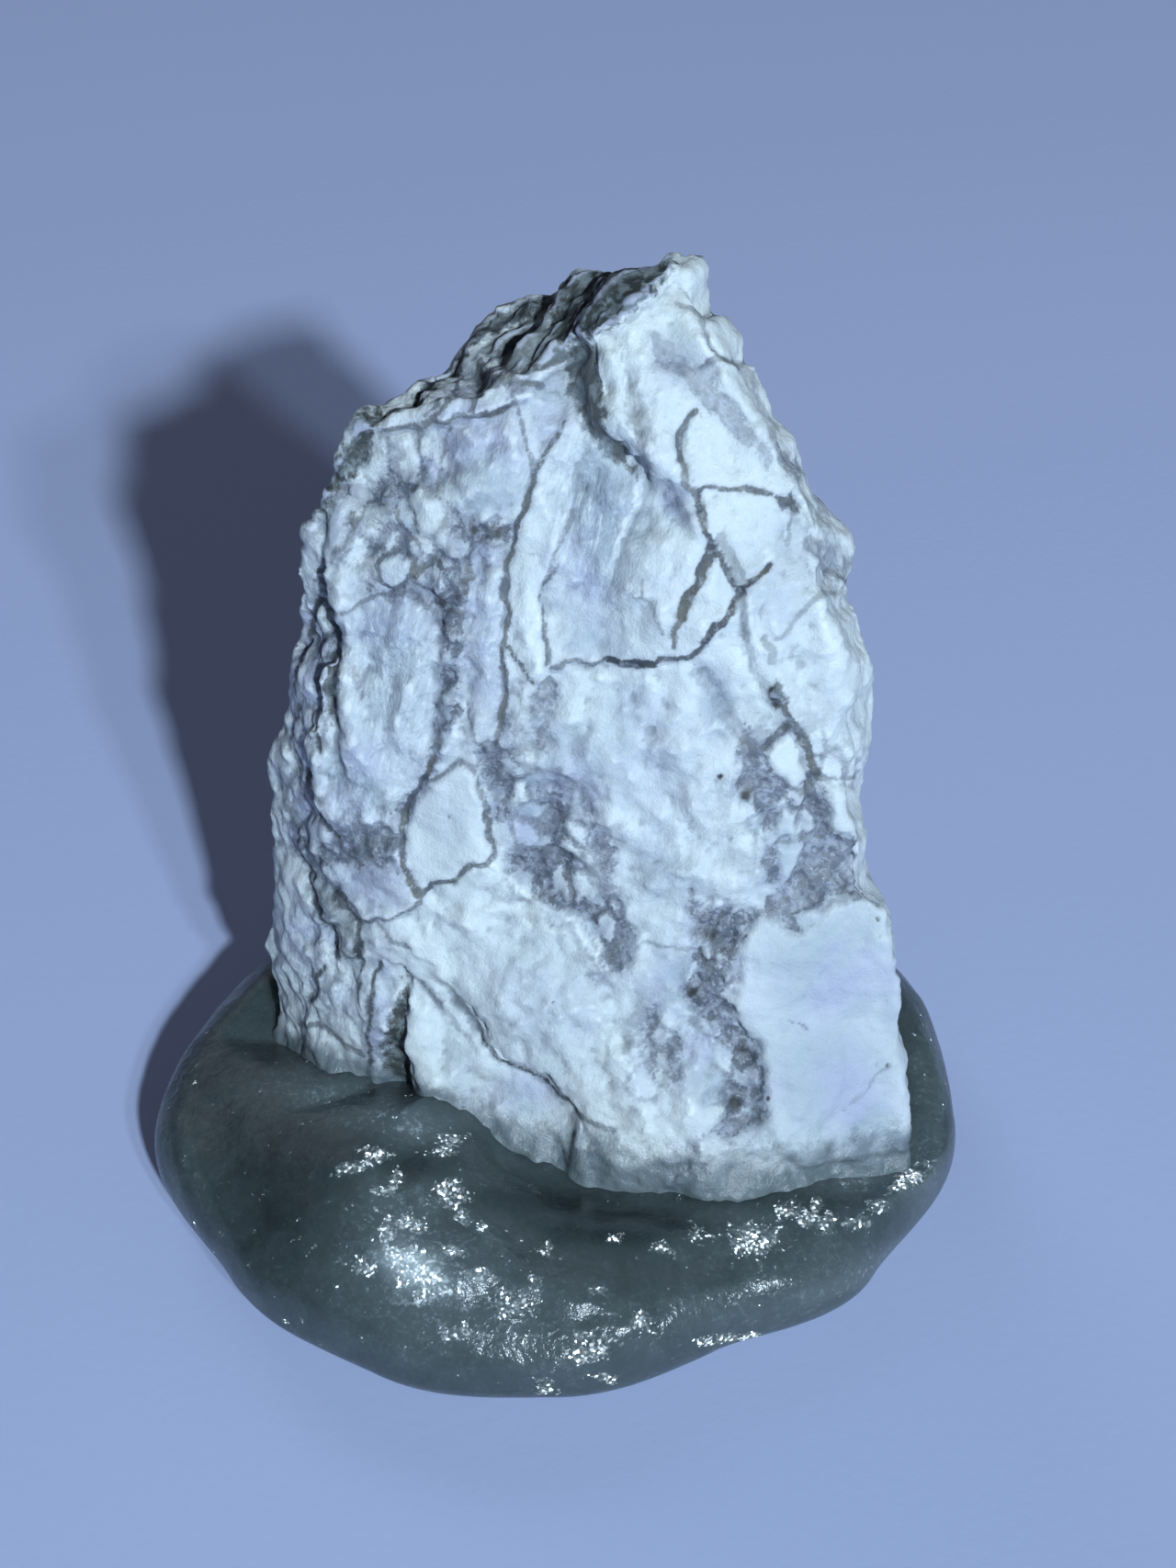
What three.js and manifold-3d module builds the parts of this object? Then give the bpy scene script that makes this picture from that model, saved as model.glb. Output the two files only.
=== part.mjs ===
// Rough howlite: a broken, veined white stone that stands in a lump of clear grey tacking putty.
// Units are millimetres, +Z is up, and the broad front of the stone faces -Y.

import * as THREE from "three";
import { ImprovedNoise } from "three/addons/math/ImprovedNoise.js";
import { mergeVertices } from "three/addons/utils/BufferGeometryUtils.js";
import Module from "manifold-3d";

const wasm = await Module();
wasm.setup();

// Places on the surface are sighted: millimetres right and up of AIM, as seen looking down at it.
const SIGHT_DISTANCE = 150;
const SIGHT_ELEVATION = 40;
const AIM = new THREE.Vector3(0, 0, 26);

// The block that the stone is broken from, and the longest edge on its broken faces.
const BLOCK = { width: 60, depth: 44, height: 72 };
const STONE_EDGE = 3.4;

// The putty: its outline is the distance from its middle at each azimuth, 30 degrees apart from +X.
const PUTTY = {
  middle: [-1.8, -6.2],
  outline: [24.2, 25.4, 24.6, 21.8, 23.2, 23.8, 24.6, 21.9, 20.3, 19.1, 18.3, 21.3],
  height: 9.2,
  girth: 3.4,
  flatness: 2.5,
  divisions: 9,
};

// Swells and dips on the putty: place, how far up or down, and how wide.
const PUTTY_LUMPS = [
  { place: [-11, -17], rise: 1.3, spread: 7 },
  { place: [8, -19], rise: 0.5, spread: 6 },
  { place: [-3, -13.5], rise: -1.3, spread: 4.5 },
  { place: [9, -15.5], rise: -0.9, spread: 4 },
  { place: [-22, -4], rise: -0.9, spread: 6 },
  { place: [19, -2], rise: 0.5, spread: 5 },
  { place: [-14, 11], rise: -0.8, spread: 6 },
  { place: [6, 13], rise: 0.7, spread: 6 },
];

// Room between the stone and the pocket that it has pressed into the putty.
const POCKET_GAP = 0.45;

// Break planes. Azimuth is degrees from +X towards +Y, tilt is degrees up from level,
// and each plane passes through its point.
const FACETS = {
  frontMain: { azimuth: 257, tilt: 14, point: [0, -10.8, 8] },
  frontRight: { azimuth: 281, tilt: 13.5, point: [7.5, -8.1, 25.3] },
  frontLeft: { azimuth: 235, tilt: 4, point: [-13.4, -5.9, 15.1] },
  flank: { azimuth: 214, tilt: 8, point: [-14.2, 0, 37.5] },
  upperFront: { azimuth: 254, tilt: 21, point: [-7.6, 0.6, 45.6] },
  lightFace: { azimuth: 284, tilt: 32, point: [3.6, -1.8, 46.5] },
  crown: { azimuth: 175, tilt: 60, point: [1.9, 4, 55.2] },
  leftShoulder: { azimuth: 184, tilt: 40, point: [-10.6, 3, 51.2] },
  leftUpper: { azimuth: 187, tilt: 9, point: [-17.2, 0, 29] },
  leftSide: { azimuth: 190, tilt: 2, point: [-18.7, -1, 8] },
  rightCrest: { azimuth: 355, tilt: 33, point: [5.4, 4, 55.0] },
  rightUpper: { azimuth: 355, tilt: 19, point: [10.8, 2, 46.0] },
  rightSide: { azimuth: 2, tilt: 7, point: [18.1, -4, 8] },
  back: { azimuth: 92, tilt: 2, point: [0, 10.6, 20] },
  backUpper: { azimuth: 84, tilt: 16, point: [0, 9.8, 48] },
  backRight: { azimuth: 42, tilt: 9, point: [14, 6.5, 24] },
  backLeft: { azimuth: 138, tilt: 13, point: [-12, 3.6, 46] },
  backRightLow: { azimuth: 48, tilt: 2, point: [14, 6.2, 12] },
  backLeftLow: { azimuth: 145, tilt: -2, point: [-14.7, 6.2, 12] },
  foot: { azimuth: 270, tilt: -85, point: [0, 0, 3.2] },
};

// Flakes that came off. Each outline point is sighted right, up, and the depth there, so a flake
// is deep along one edge, its scarp, and runs out to nothing along the others. The front ones
// are sighted from the front, and the back ones from behind.
const FRONT = 0;
const BEHIND = 180;
const FLAKES = {
  topScarp: {
    facet: "upperFront",
    seen: FRONT,
    outline: [
      [-1.5, 25.8, 1.4], [-1.4, 23.0, 2.0], [-0.8, 21.6, 2.2], [0.2, 19.7, 2.1], [1.7, 18.4, 1.8],
      [3.6, 17.4, 1.5], [5.1, 15.1, 1.0], [6.1, 14.5, 0.3], [2.0, 9.5, 0], [-3.5, 11.5, 0],
      [-5.8, 19.0, 0], [-4.6, 25.0, 0.3],
    ],
  },
  wedgeCrack: {
    facet: "frontLeft",
    seen: FRONT,
    outline: [
      [-10.7, -11.8, 0.1], [-10.4, -13.0, 0.8], [-10.2, -15.9, 1.6], [-10.0, -19.5, 1.9],
      [-12.8, -20.5, 0.9], [-13.2, -15.6, 0], [-12.0, -12.2, 0],
    ],
  },
  slantingStep: {
    facet: "frontMain",
    seen: FRONT,
    outline: [
      [-7.9, -11.6, 0.2], [-6.9, -13.2, 0.9], [-5.9, -14.7, 1.2], [-4.8, -15.9, 1.2],
      [-2.7, -16.8, 1.0], [-1.2, -18.4, 1.0], [-0.7, -19.1, 0.9], [-1.0, -23.5, 0.6],
      [-7.5, -21.5, 0], [-10.0, -17.5, 0], [-9.6, -13.6, 0],
    ],
  },
  blockEdge: {
    facet: "frontRight",
    seen: FRONT,
    outline: [
      [10.1, -21.0, 0.3], [9.9, -16.7, 0.4], [9.6, -14.7, 0.5], [8.0, -12.7, 0.6],
      [7.9, -10.5, 0.6], [8.8, -8.6, 0.5], [9.8, -7.5, 0.4], [10.7, -7.7, 0.5], [11.3, -8.6, 0.6],
      [12.1, -8.5, 0.6], [13.9, -7.2, 0.6], [14.2, -6.5, 0.6], [18.5, -6.5, 0.6],
      [18.5, -2.4, 0.1], [13.6, -2.9, 0], [10.4, -4.6, 0], [7.6, -7.0, 0], [5.6, -10.5, 0],
      [5.4, -15.5, 0], [6.6, -20.5, 0],
    ],
  },
  flankCrack: {
    facet: "flank",
    seen: FRONT,
    outline: [
      [-15.0, 13.5, 0], [-14.9, 12.0, 0.6], [-14.6, 10.0, 0.9], [-14.5, 7.9, 1.0],
      [-14.8, 5.9, 0.9], [-14.6, 3.5, 0.4], [-15.4, 1.2, 0], [-19.4, 3.0, 0.2], [-18.2, 9.0, 0.2],
    ],
  },
  crestNotch: {
    facet: "rightCrest",
    seen: FRONT,
    outline: [
      [5.6, 31.0, 0.4], [7.3, 27.6, 0.9], [9.2, 26.4, 0.2], [10.8, 28.4, 0.1], [9.0, 32.0, 0.3],
    ],
  },
  backStep: {
    facet: "back",
    seen: BEHIND,
    outline: [
      [-12.0, 4.0, 0.6], [-5.5, 2.4, 1.6], [0.5, 4.6, 2.2], [5.0, 2.0, 2.0], [11.0, 4.4, 1.0],
      [10.0, 13.0, 0.2], [1.0, 17.0, 0], [-8.0, 14.0, 0],
    ],
  },
  backFoot: {
    facet: "back",
    seen: BEHIND,
    outline: [
      [-3.0, -24.0, 1.4], [-2.2, -15.0, 1.8], [-4.6, -9.5, 1.2], [-9.0, -6.5, 0.2],
      [-14.0, -10.0, 0], [-13.0, -24.0, 0.1],
    ],
  },
};

// Shallow shell-shaped hollows, each round its place on a facet.
const SCOOPS = [
  { facet: "rightSide", place: [15.2, -3, 31], depth: 1.3, radius: 15 },
  { facet: "lightFace", place: [9.5, -2.5, 45], depth: 0.5, radius: 12 },
  { facet: "frontMain", place: [-0.5, -3.2, 40], depth: 0.7, radius: 17 },
  { facet: "frontMain", place: [2, -7, 24], depth: 0.45, radius: 20 },
  { facet: "frontLeft", place: [-17.5, -2.4, 20], depth: 0.8, radius: 9 },
  { facet: "crown", place: [-5.6, 6, 50.4], depth: 1.0, radius: 7 },
  { facet: "crown", place: [0.6, 6, 53.6], depth: 0.7, radius: 6 },
  { facet: "leftShoulder", place: [-12.6, 3.4, 48.4], depth: 0.6, radius: 6 },
  { facet: "leftUpper", place: [-17, 4, 30], depth: 1.0, radius: 13 },
  { facet: "leftSide", place: [-18.6, 3, 16], depth: 0.9, radius: 11 },
  { facet: "backLeft", place: [-14, 7, 27], depth: 1.9, radius: 19 },
  { facet: "back", place: [5.5, 10.6, 20], depth: 1.5, radius: 19 },
  { facet: "backUpper", place: [3.5, 9.6, 46], depth: 1.3, radius: 15 },
  { facet: "backRightLow", place: [14, 6.2, 19], depth: 1.3, radius: 15 },
  { facet: "backRight", place: [12, 6.5, 38], depth: 1.1, radius: 14 },
];

// Uneven breakage: a smooth shift of every place in and on the stone, one for each grain length.
const ROUGHNESS = [
  { length: 23, shift: 1.4 },
  { length: 9.5, shift: 0.8 },
  { length: 4.6, shift: 0.45 },
];

const RIGHT = new THREE.Vector3(1, 0, 0);
const UP = new THREE.Vector3(0, 0, 1);
const FAR = 200;
const FLAKE_RISE = 6;
const SCOOP_DETAIL = 2;
const WELD = 1e-4;

const radians = THREE.MathUtils.degToRad;
const elevation = radians(SIGHT_ELEVATION);
const SIGHT_UP = new THREE.Vector3(0, Math.sin(elevation), Math.cos(elevation));
const SIGHT_BACK = new THREE.Vector3(0, -Math.cos(elevation), Math.sin(elevation));

// The plane of a facet, its normal pointing out of the stone, or one set proud of it.
function facetPlane({ azimuth, tilt, point }, proud = 0) {
  const a = radians(azimuth);
  const t = radians(tilt);
  const normal = new THREE.Vector3(Math.cos(a) * Math.cos(t), Math.sin(a) * Math.cos(t), Math.sin(t));
  const through = new THREE.Vector3(...point).addScaledVector(normal, proud);
  return new THREE.Plane().setFromNormalAndCoplanarPoint(normal, through);
}

// Where the line of sight through a sighted place meets a plane.
function sighted(right, up, plane, seen) {
  const turned = (v) => v.clone().applyAxisAngle(UP, radians(seen));
  const eye = AIM.clone().addScaledVector(turned(SIGHT_BACK), SIGHT_DISTANCE);
  const place = AIM.clone().addScaledVector(turned(RIGHT), right).addScaledVector(turned(SIGHT_UP), up);
  const ray = new THREE.Ray(eye, place.sub(eye).normalize());
  return ray.intersectPlane(plane, new THREE.Vector3());
}

// A closed geometry as a solid that can be joined and cut.
function solid(geometry) {
  const bare = geometry.index ? geometry.toNonIndexed() : geometry.clone();
  bare.deleteAttribute("normal");
  bare.deleteAttribute("uv");
  const shared = mergeVertices(bare, WELD);
  return new wasm.Manifold(new wasm.Mesh({
    numProp: 3,
    vertProperties: new Float32Array(shared.attributes.position.array),
    triVerts: new Uint32Array(shared.index.array),
  }));
}

function geometryOf(body) {
  const mesh = body.getMesh();
  const geometry = new THREE.BufferGeometry();
  geometry.setAttribute("position", new THREE.BufferAttribute(new Float32Array(mesh.vertProperties), 3));
  geometry.setIndex(new THREE.BufferAttribute(new Uint32Array(mesh.triVerts), 1));
  return geometry;
}

// All the space on the outer side of a plane.
function beyond(plane) {
  const box = new THREE.BoxGeometry(FAR, FAR, FAR).translate(0, 0, FAR / 2);
  box.applyQuaternion(new THREE.Quaternion().setFromUnitVectors(UP, plane.normal));
  const foot = plane.coplanarPoint(new THREE.Vector3());
  return solid(box.translate(foot.x, foot.y, foot.z));
}

// The stone as its break planes leave it, or a size larger all round by proud.
function brokenBlock(proud = 0) {
  const box = new THREE.BoxGeometry(BLOCK.width, BLOCK.depth, BLOCK.height);
  let body = solid(box.translate(0, 0, BLOCK.height / 2));
  for (const facet of Object.values(FACETS)) {
    body = body.subtract(beyond(facetPlane(facet, proud)));
  }
  return body;
}

// The flake inside an outline on a facet: a prism whose floor lies at each point's depth.
function flake({ facet, seen, outline }) {
  const plane = facetPlane(FACETS[facet]);
  const across = new THREE.Vector3().crossVectors(UP, plane.normal).normalize();
  const along = new THREE.Vector3().crossVectors(plane.normal, across);
  const corners = outline.map(([right, up]) => sighted(right, up, plane, seen));
  const drawn = corners.map((p) => new THREE.Vector2(p.dot(across), p.dot(along)));
  const prism = new THREE.ExtrudeGeometry(new THREE.Shape(drawn), { depth: 1, bevelEnabled: false });
  const level = plane.normal.dot(corners[0]);
  const position = prism.attributes.position;
  const vertex = new THREE.Vector3();
  for (let i = 0; i < position.count; i++) {
    vertex.fromBufferAttribute(position, i);
    const corner = drawn.findIndex((d) => Math.hypot(d.x - vertex.x, d.y - vertex.y) < 1e-3);
    const height = vertex.z > 0.5 ? FLAKE_RISE : -outline[corner][2];
    const place = across.clone().multiplyScalar(vertex.x).addScaledVector(along, vertex.y)
      .addScaledVector(plane.normal, level + height);
    position.setXYZ(i, place.x, place.y, place.z);
  }
  return solid(prism);
}

function scoop({ facet, place, depth, radius }) {
  const plane = facetPlane(FACETS[facet]);
  const middle = plane.projectPoint(new THREE.Vector3(...place), new THREE.Vector3())
    .addScaledVector(plane.normal, radius - depth);
  const ball = new THREE.IcosahedronGeometry(radius, SCOOP_DETAIL);
  return solid(ball.translate(middle.x, middle.y, middle.z));
}

const noise = new ImprovedNoise();

function roughened(p) {
  const moved = p.clone();
  for (const { length, shift } of ROUGHNESS) {
    const q = p.clone().divideScalar(length);
    moved.x += shift * noise.noise(q.x + 3.1, q.y + 7.7, q.z + 1.3);
    moved.y += shift * noise.noise(q.x + 11.9, q.y + 2.3, q.z + 5.1);
    moved.z += shift * noise.noise(q.x + 6.7, q.y + 13.3, q.z + 9.9);
  }
  return moved;
}

// Halves a solid's long edges, each at one middle shared by the faces on both sides of it,
// until none is longer than the limit.
function divided(body, limit) {
  const { vertProperties, triVerts } = body.getMesh();
  const places = [];
  for (let i = 0; i < vertProperties.length; i += 3) {
    places.push(new THREE.Vector3().fromArray(vertProperties, i));
  }
  const middles = new Map();
  const middle = (a, b) => {
    const key = a < b ? `${a} ${b}` : `${b} ${a}`;
    if (!middles.has(key)) {
      middles.set(key, places.length);
      places.push(places[a].clone().lerp(places[b], 0.5));
    }
    return middles.get(key);
  };
  const waiting = [];
  for (let i = 0; i < triVerts.length; i += 3) {
    waiting.push([...triVerts.subarray(i, i + 3)]);
  }
  const faces = [];
  while (waiting.length > 0) {
    const face = waiting.pop();
    const lengths = face.map((from, k) => places[from].distanceTo(places[face[(k + 1) % 3]]));
    const longest = Math.max(...lengths);
    const k = lengths.indexOf(longest);
    const [a, b, c] = [face[k], face[(k + 1) % 3], face[(k + 2) % 3]];
    if (longest <= limit) {
      faces.push(a, b, c);
    } else {
      waiting.push([a, middle(a, b), c], [middle(a, b), b, c]);
    }
  }
  return { places, faces };
}

// A solid with its faces divided and given the uneven breakage.
function weathered(body) {
  const { places, faces } = divided(body, STONE_EDGE);
  return new THREE.BufferGeometry().setFromPoints(places.map(roughened)).setIndex(faces);
}

function howlite() {
  let body = brokenBlock();
  for (const piece of Object.values(FLAKES)) {
    body = body.subtract(flake(piece));
  }
  for (const hollow of SCOOPS) {
    body = body.subtract(scoop(hollow));
  }
  return weathered(body);
}

// The putty's reach from its middle at an azimuth, eased between the outline's distances.
function puttyReach(azimuth) {
  const count = PUTTY.outline.length;
  const turns = ((azimuth / (2 * Math.PI)) % 1 + 1) % 1;
  const before = Math.floor(turns * count) % count;
  const share = THREE.MathUtils.smoothstep(turns * count - Math.floor(turns * count), 0, 1);
  return THREE.MathUtils.lerp(PUTTY.outline[before], PUTTY.outline[(before + 1) % count], share);
}

function puttyTop(x, y) {
  const swell = (sum, { place, rise, spread }) => {
    const away = Math.hypot(x - place[0], y - place[1]) / spread;
    return sum + rise * Math.exp(-away * away);
  };
  return PUTTY_LUMPS.reduce(swell, PUTTY.height - PUTTY.girth);
}

// The pressed lump: a round form drawn out to the outline, bulging at its girth, cut flat below.
function puttyLump() {
  const ball = new THREE.IcosahedronGeometry(1, PUTTY.divisions);
  const position = ball.attributes.position;
  const vertex = new THREE.Vector3();
  for (let i = 0; i < position.count; i++) {
    vertex.fromBufferAttribute(position, i).normalize();
    const level = Math.hypot(vertex.x, vertex.y);
    const height = Math.abs(vertex.z);
    const swollen = (level ** PUTTY.flatness + height ** PUTTY.flatness) ** (-1 / PUTTY.flatness);
    const reach = puttyReach(Math.atan2(vertex.y, vertex.x)) * swollen;
    const x = PUTTY.middle[0] + vertex.x * reach;
    const y = PUTTY.middle[1] + vertex.y * reach;
    const rise = vertex.z > 0 ? puttyTop(x, y) : PUTTY.girth + 1;
    position.setXYZ(i, x, y, PUTTY.girth + vertex.z * swollen * rise);
  }
  const table = new THREE.Plane(UP.clone().negate(), 0);
  return solid(ball).subtract(beyond(table));
}

function puttyBase() {
  const pocket = solid(weathered(brokenBlock(POCKET_GAP)));
  return geometryOf(puttyLump().subtract(pocket));
}

const stoneWhite = new THREE.MeshStandardMaterial({ color: 0xccd8e2, roughness: 0.75, metalness: 0 });
const puttyGrey = new THREE.MeshStandardMaterial({ color: 0x4a585a, roughness: 0.2, metalness: 0 });

function named(name, geometry, material) {
  const mesh = new THREE.Mesh(geometry, material);
  mesh.name = name;
  return mesh;
}

const model = new THREE.Group();
model.add(named("howlite", howlite(), stoneWhite));
model.add(named("putty_base", puttyBase(), puttyGrey));

// The origin is the middle of the base, on the surface that the putty rests on.
const bounds = new THREE.Box3().setFromObject(model);
const middle = bounds.getCenter(new THREE.Vector3());
model.position.set(-middle.x, -middle.y, -bounds.min.z);

export default model;
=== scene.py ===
"""Rough howlite: a broken, veined white stone standing in a lump of clear grey tacking putty.

The veins, seams and breaks on the front of the stone are sighted: each is a route drawn on
the reference picture, 1280 by 1707 pixels, and thrown onto the stone from the eye's place. Widths,
depths and everything else are real sizes in millimetres.
"""

import math

import bmesh
import bpy
import numpy as np
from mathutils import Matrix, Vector, noise
from mathutils.bvhtree import BVHTree


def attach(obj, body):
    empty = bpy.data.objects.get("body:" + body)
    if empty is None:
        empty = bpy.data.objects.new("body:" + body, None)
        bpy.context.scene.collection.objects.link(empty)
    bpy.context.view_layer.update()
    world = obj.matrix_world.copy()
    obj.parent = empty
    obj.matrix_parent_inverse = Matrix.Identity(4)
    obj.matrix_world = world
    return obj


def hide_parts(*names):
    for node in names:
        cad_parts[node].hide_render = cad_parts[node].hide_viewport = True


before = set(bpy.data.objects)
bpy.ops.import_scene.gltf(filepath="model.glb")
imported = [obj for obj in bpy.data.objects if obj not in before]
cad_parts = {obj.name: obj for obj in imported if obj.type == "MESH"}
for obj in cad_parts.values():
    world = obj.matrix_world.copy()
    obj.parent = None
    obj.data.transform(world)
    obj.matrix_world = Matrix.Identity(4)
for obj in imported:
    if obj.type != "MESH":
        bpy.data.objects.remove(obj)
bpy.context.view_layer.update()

bl_info = {
    "name": "Rough howlite in putty",
    "version": (1, 0, 0),
    "blender": (4, 5, 0),
    "location": "3D View > Sidebar > Howlite",
    "description": "Builds a rough howlite stone standing in a lump of tacking putty",
    "category": "Object",
}

MM = 0.001
BODY = "root"

# The eye: what it looks at, from how far and how high, and what one pixel spans at that distance.
AIM = Vector((2.0, 4.546, 26.0))
EYE_DISTANCE = 150.0
EYE_ELEVATION = math.radians(40)
LENS = 60.0
SENSOR = 36.0
PICTURE_MIDDLE = (640.0, 853.5)
PIXEL = SENSOR / LENS * EYE_DISTANCE / 1707

SIGHT_RIGHT = Vector((1, 0, 0))
SIGHT_UP = Vector((0, math.sin(EYE_ELEVATION), math.cos(EYE_ELEVATION)))
SIGHT_BACK = Vector((0, -math.cos(EYE_ELEVATION), math.sin(EYE_ELEVATION)))
EYE = AIM + SIGHT_BACK * EYE_DISTANCE

# The lights' places from the aim and their sizes, in millimetres, their tints, and the shares of
# the main light's power that the other two have; the room's light, and half the floor's width.
KEY_PLACE = Vector((310.0, -885.0, 580.0))
KEY_SIZE = 48.0
SECOND_PLACE = KEY_PLACE + Vector((100.0, 35.0, 0.0))
SECOND_SHARE = 0.25
BACK_PLACE = Vector((-520.0, 840.0, 600.0))
BACK_SIZE = 520.0
BACK_SHARE = 0.15
COOL_TINT = (0.72, 0.87, 1.0)
BACK_TINT = (0.85, 0.9, 1.0)
ROOM_STRENGTH = 0.055
FLOOR_HALF = 3000.0

# Ways in which the breakage is drawn out: feathers and pieces on the front, ridges on the crown.
FEATHER_WAY = (SIGHT_UP + 0.26 * SIGHT_RIGHT).normalized()
PIECE_WAY = (SIGHT_UP - 0.2 * SIGHT_RIGHT).normalized()
CROWN_WAY = Vector((0.8, 0.5, 0.25)).normalized()

# The chips' layers: share of the chip height, size, seed, and the share that smooth lumps don't calm.
CHIPS = [(1.15, 4.2, 1.0, 0.0), (0.75, 2.0, 2.0, 0.0), (0.38, 0.95, 3.0, 0.25), (0.16, 0.5, 4.0, 0.4)]

# The feathers' and the crown ridges' layers: share of the feather height, size and seed.
FEATHER_LAYERS = [(1.0, 0.9, 5.0), (0.5, 0.45, 6.0)]
CROWN_LAYERS = [(1.9, 0.9, 7.0), (1.5, 0.45, 8.0)]

# Pieces of crushed stone: their size, and which share of them is grey matrix and not white stone.
PIECE_SIZE = 1.25
PIECE_GREY = 0.54

# How far apart the veins lie on the hidden sides, in millimetres.
HIDDEN_VEIN_SPACING = 8.5

# Where the outline is pulled in or out: place in pixels, reach, and the shift right and up.
NUDGES = [
    ((560, 330), 2.6, (-0.5, 0.9)), ((510, 362), 1.6, (-0.6, 0.3)), ((636, 306), 2.2, (-0.2, 0.8)),
    ((445, 436), 2.8, (-0.6, 0.5)), ((388, 482), 2.2, (-0.5, 0.4)), ((316, 790), 3.0, (-1.2, 0.0)),
    ((742, 278), 1.8, (0.8, -0.4)), ((784, 335), 1.5, (-0.6, -0.2)), ((826, 405), 1.8, (-0.8, -0.3)),
    ((853, 450), 1.6, (-0.6, -0.3)), ((900, 585), 2.8, (0.9, 0.2)), ((962, 865), 3.0, (-1.5, 0.0)),
    ((966, 935), 2.2, (-0.6, 0.0)), ((974, 962), 1.8, (-0.7, 0.0)),
]

# Where the stone is brought forward along the line of sight: place in pixels, reach across and up,
# and how far.
BULGES = [
    ((590, 1290), 8.0, 4.5, 2.0), ((420, 1230), 4.0, 4.0, 1.2), ((800, 1300), 6.0, 4.0, 1.2),
]

# Sheer steps of the solid that are eased into slopes: how far to either side, and the route.
STEPS = {
    "scarp": (1.3, [(602, 350), (606, 380), (609, 400), (614, 430), (624, 460), (651, 490), (690, 516),
        (728, 550)]),
    "wedge": (1.5, [(440, 1075), (446, 1120), (450, 1160), (452, 1200), (456, 1235)]),
    "wedge_foot": (1.3, [(440, 1215), (470, 1232), (500, 1240), (530, 1252)]),
}
# How far the scarp is moved to the right, and how wide a strip goes with it.
SCARP_SHIFT = 0.75
SCARP_REACH = 2.2

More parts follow.
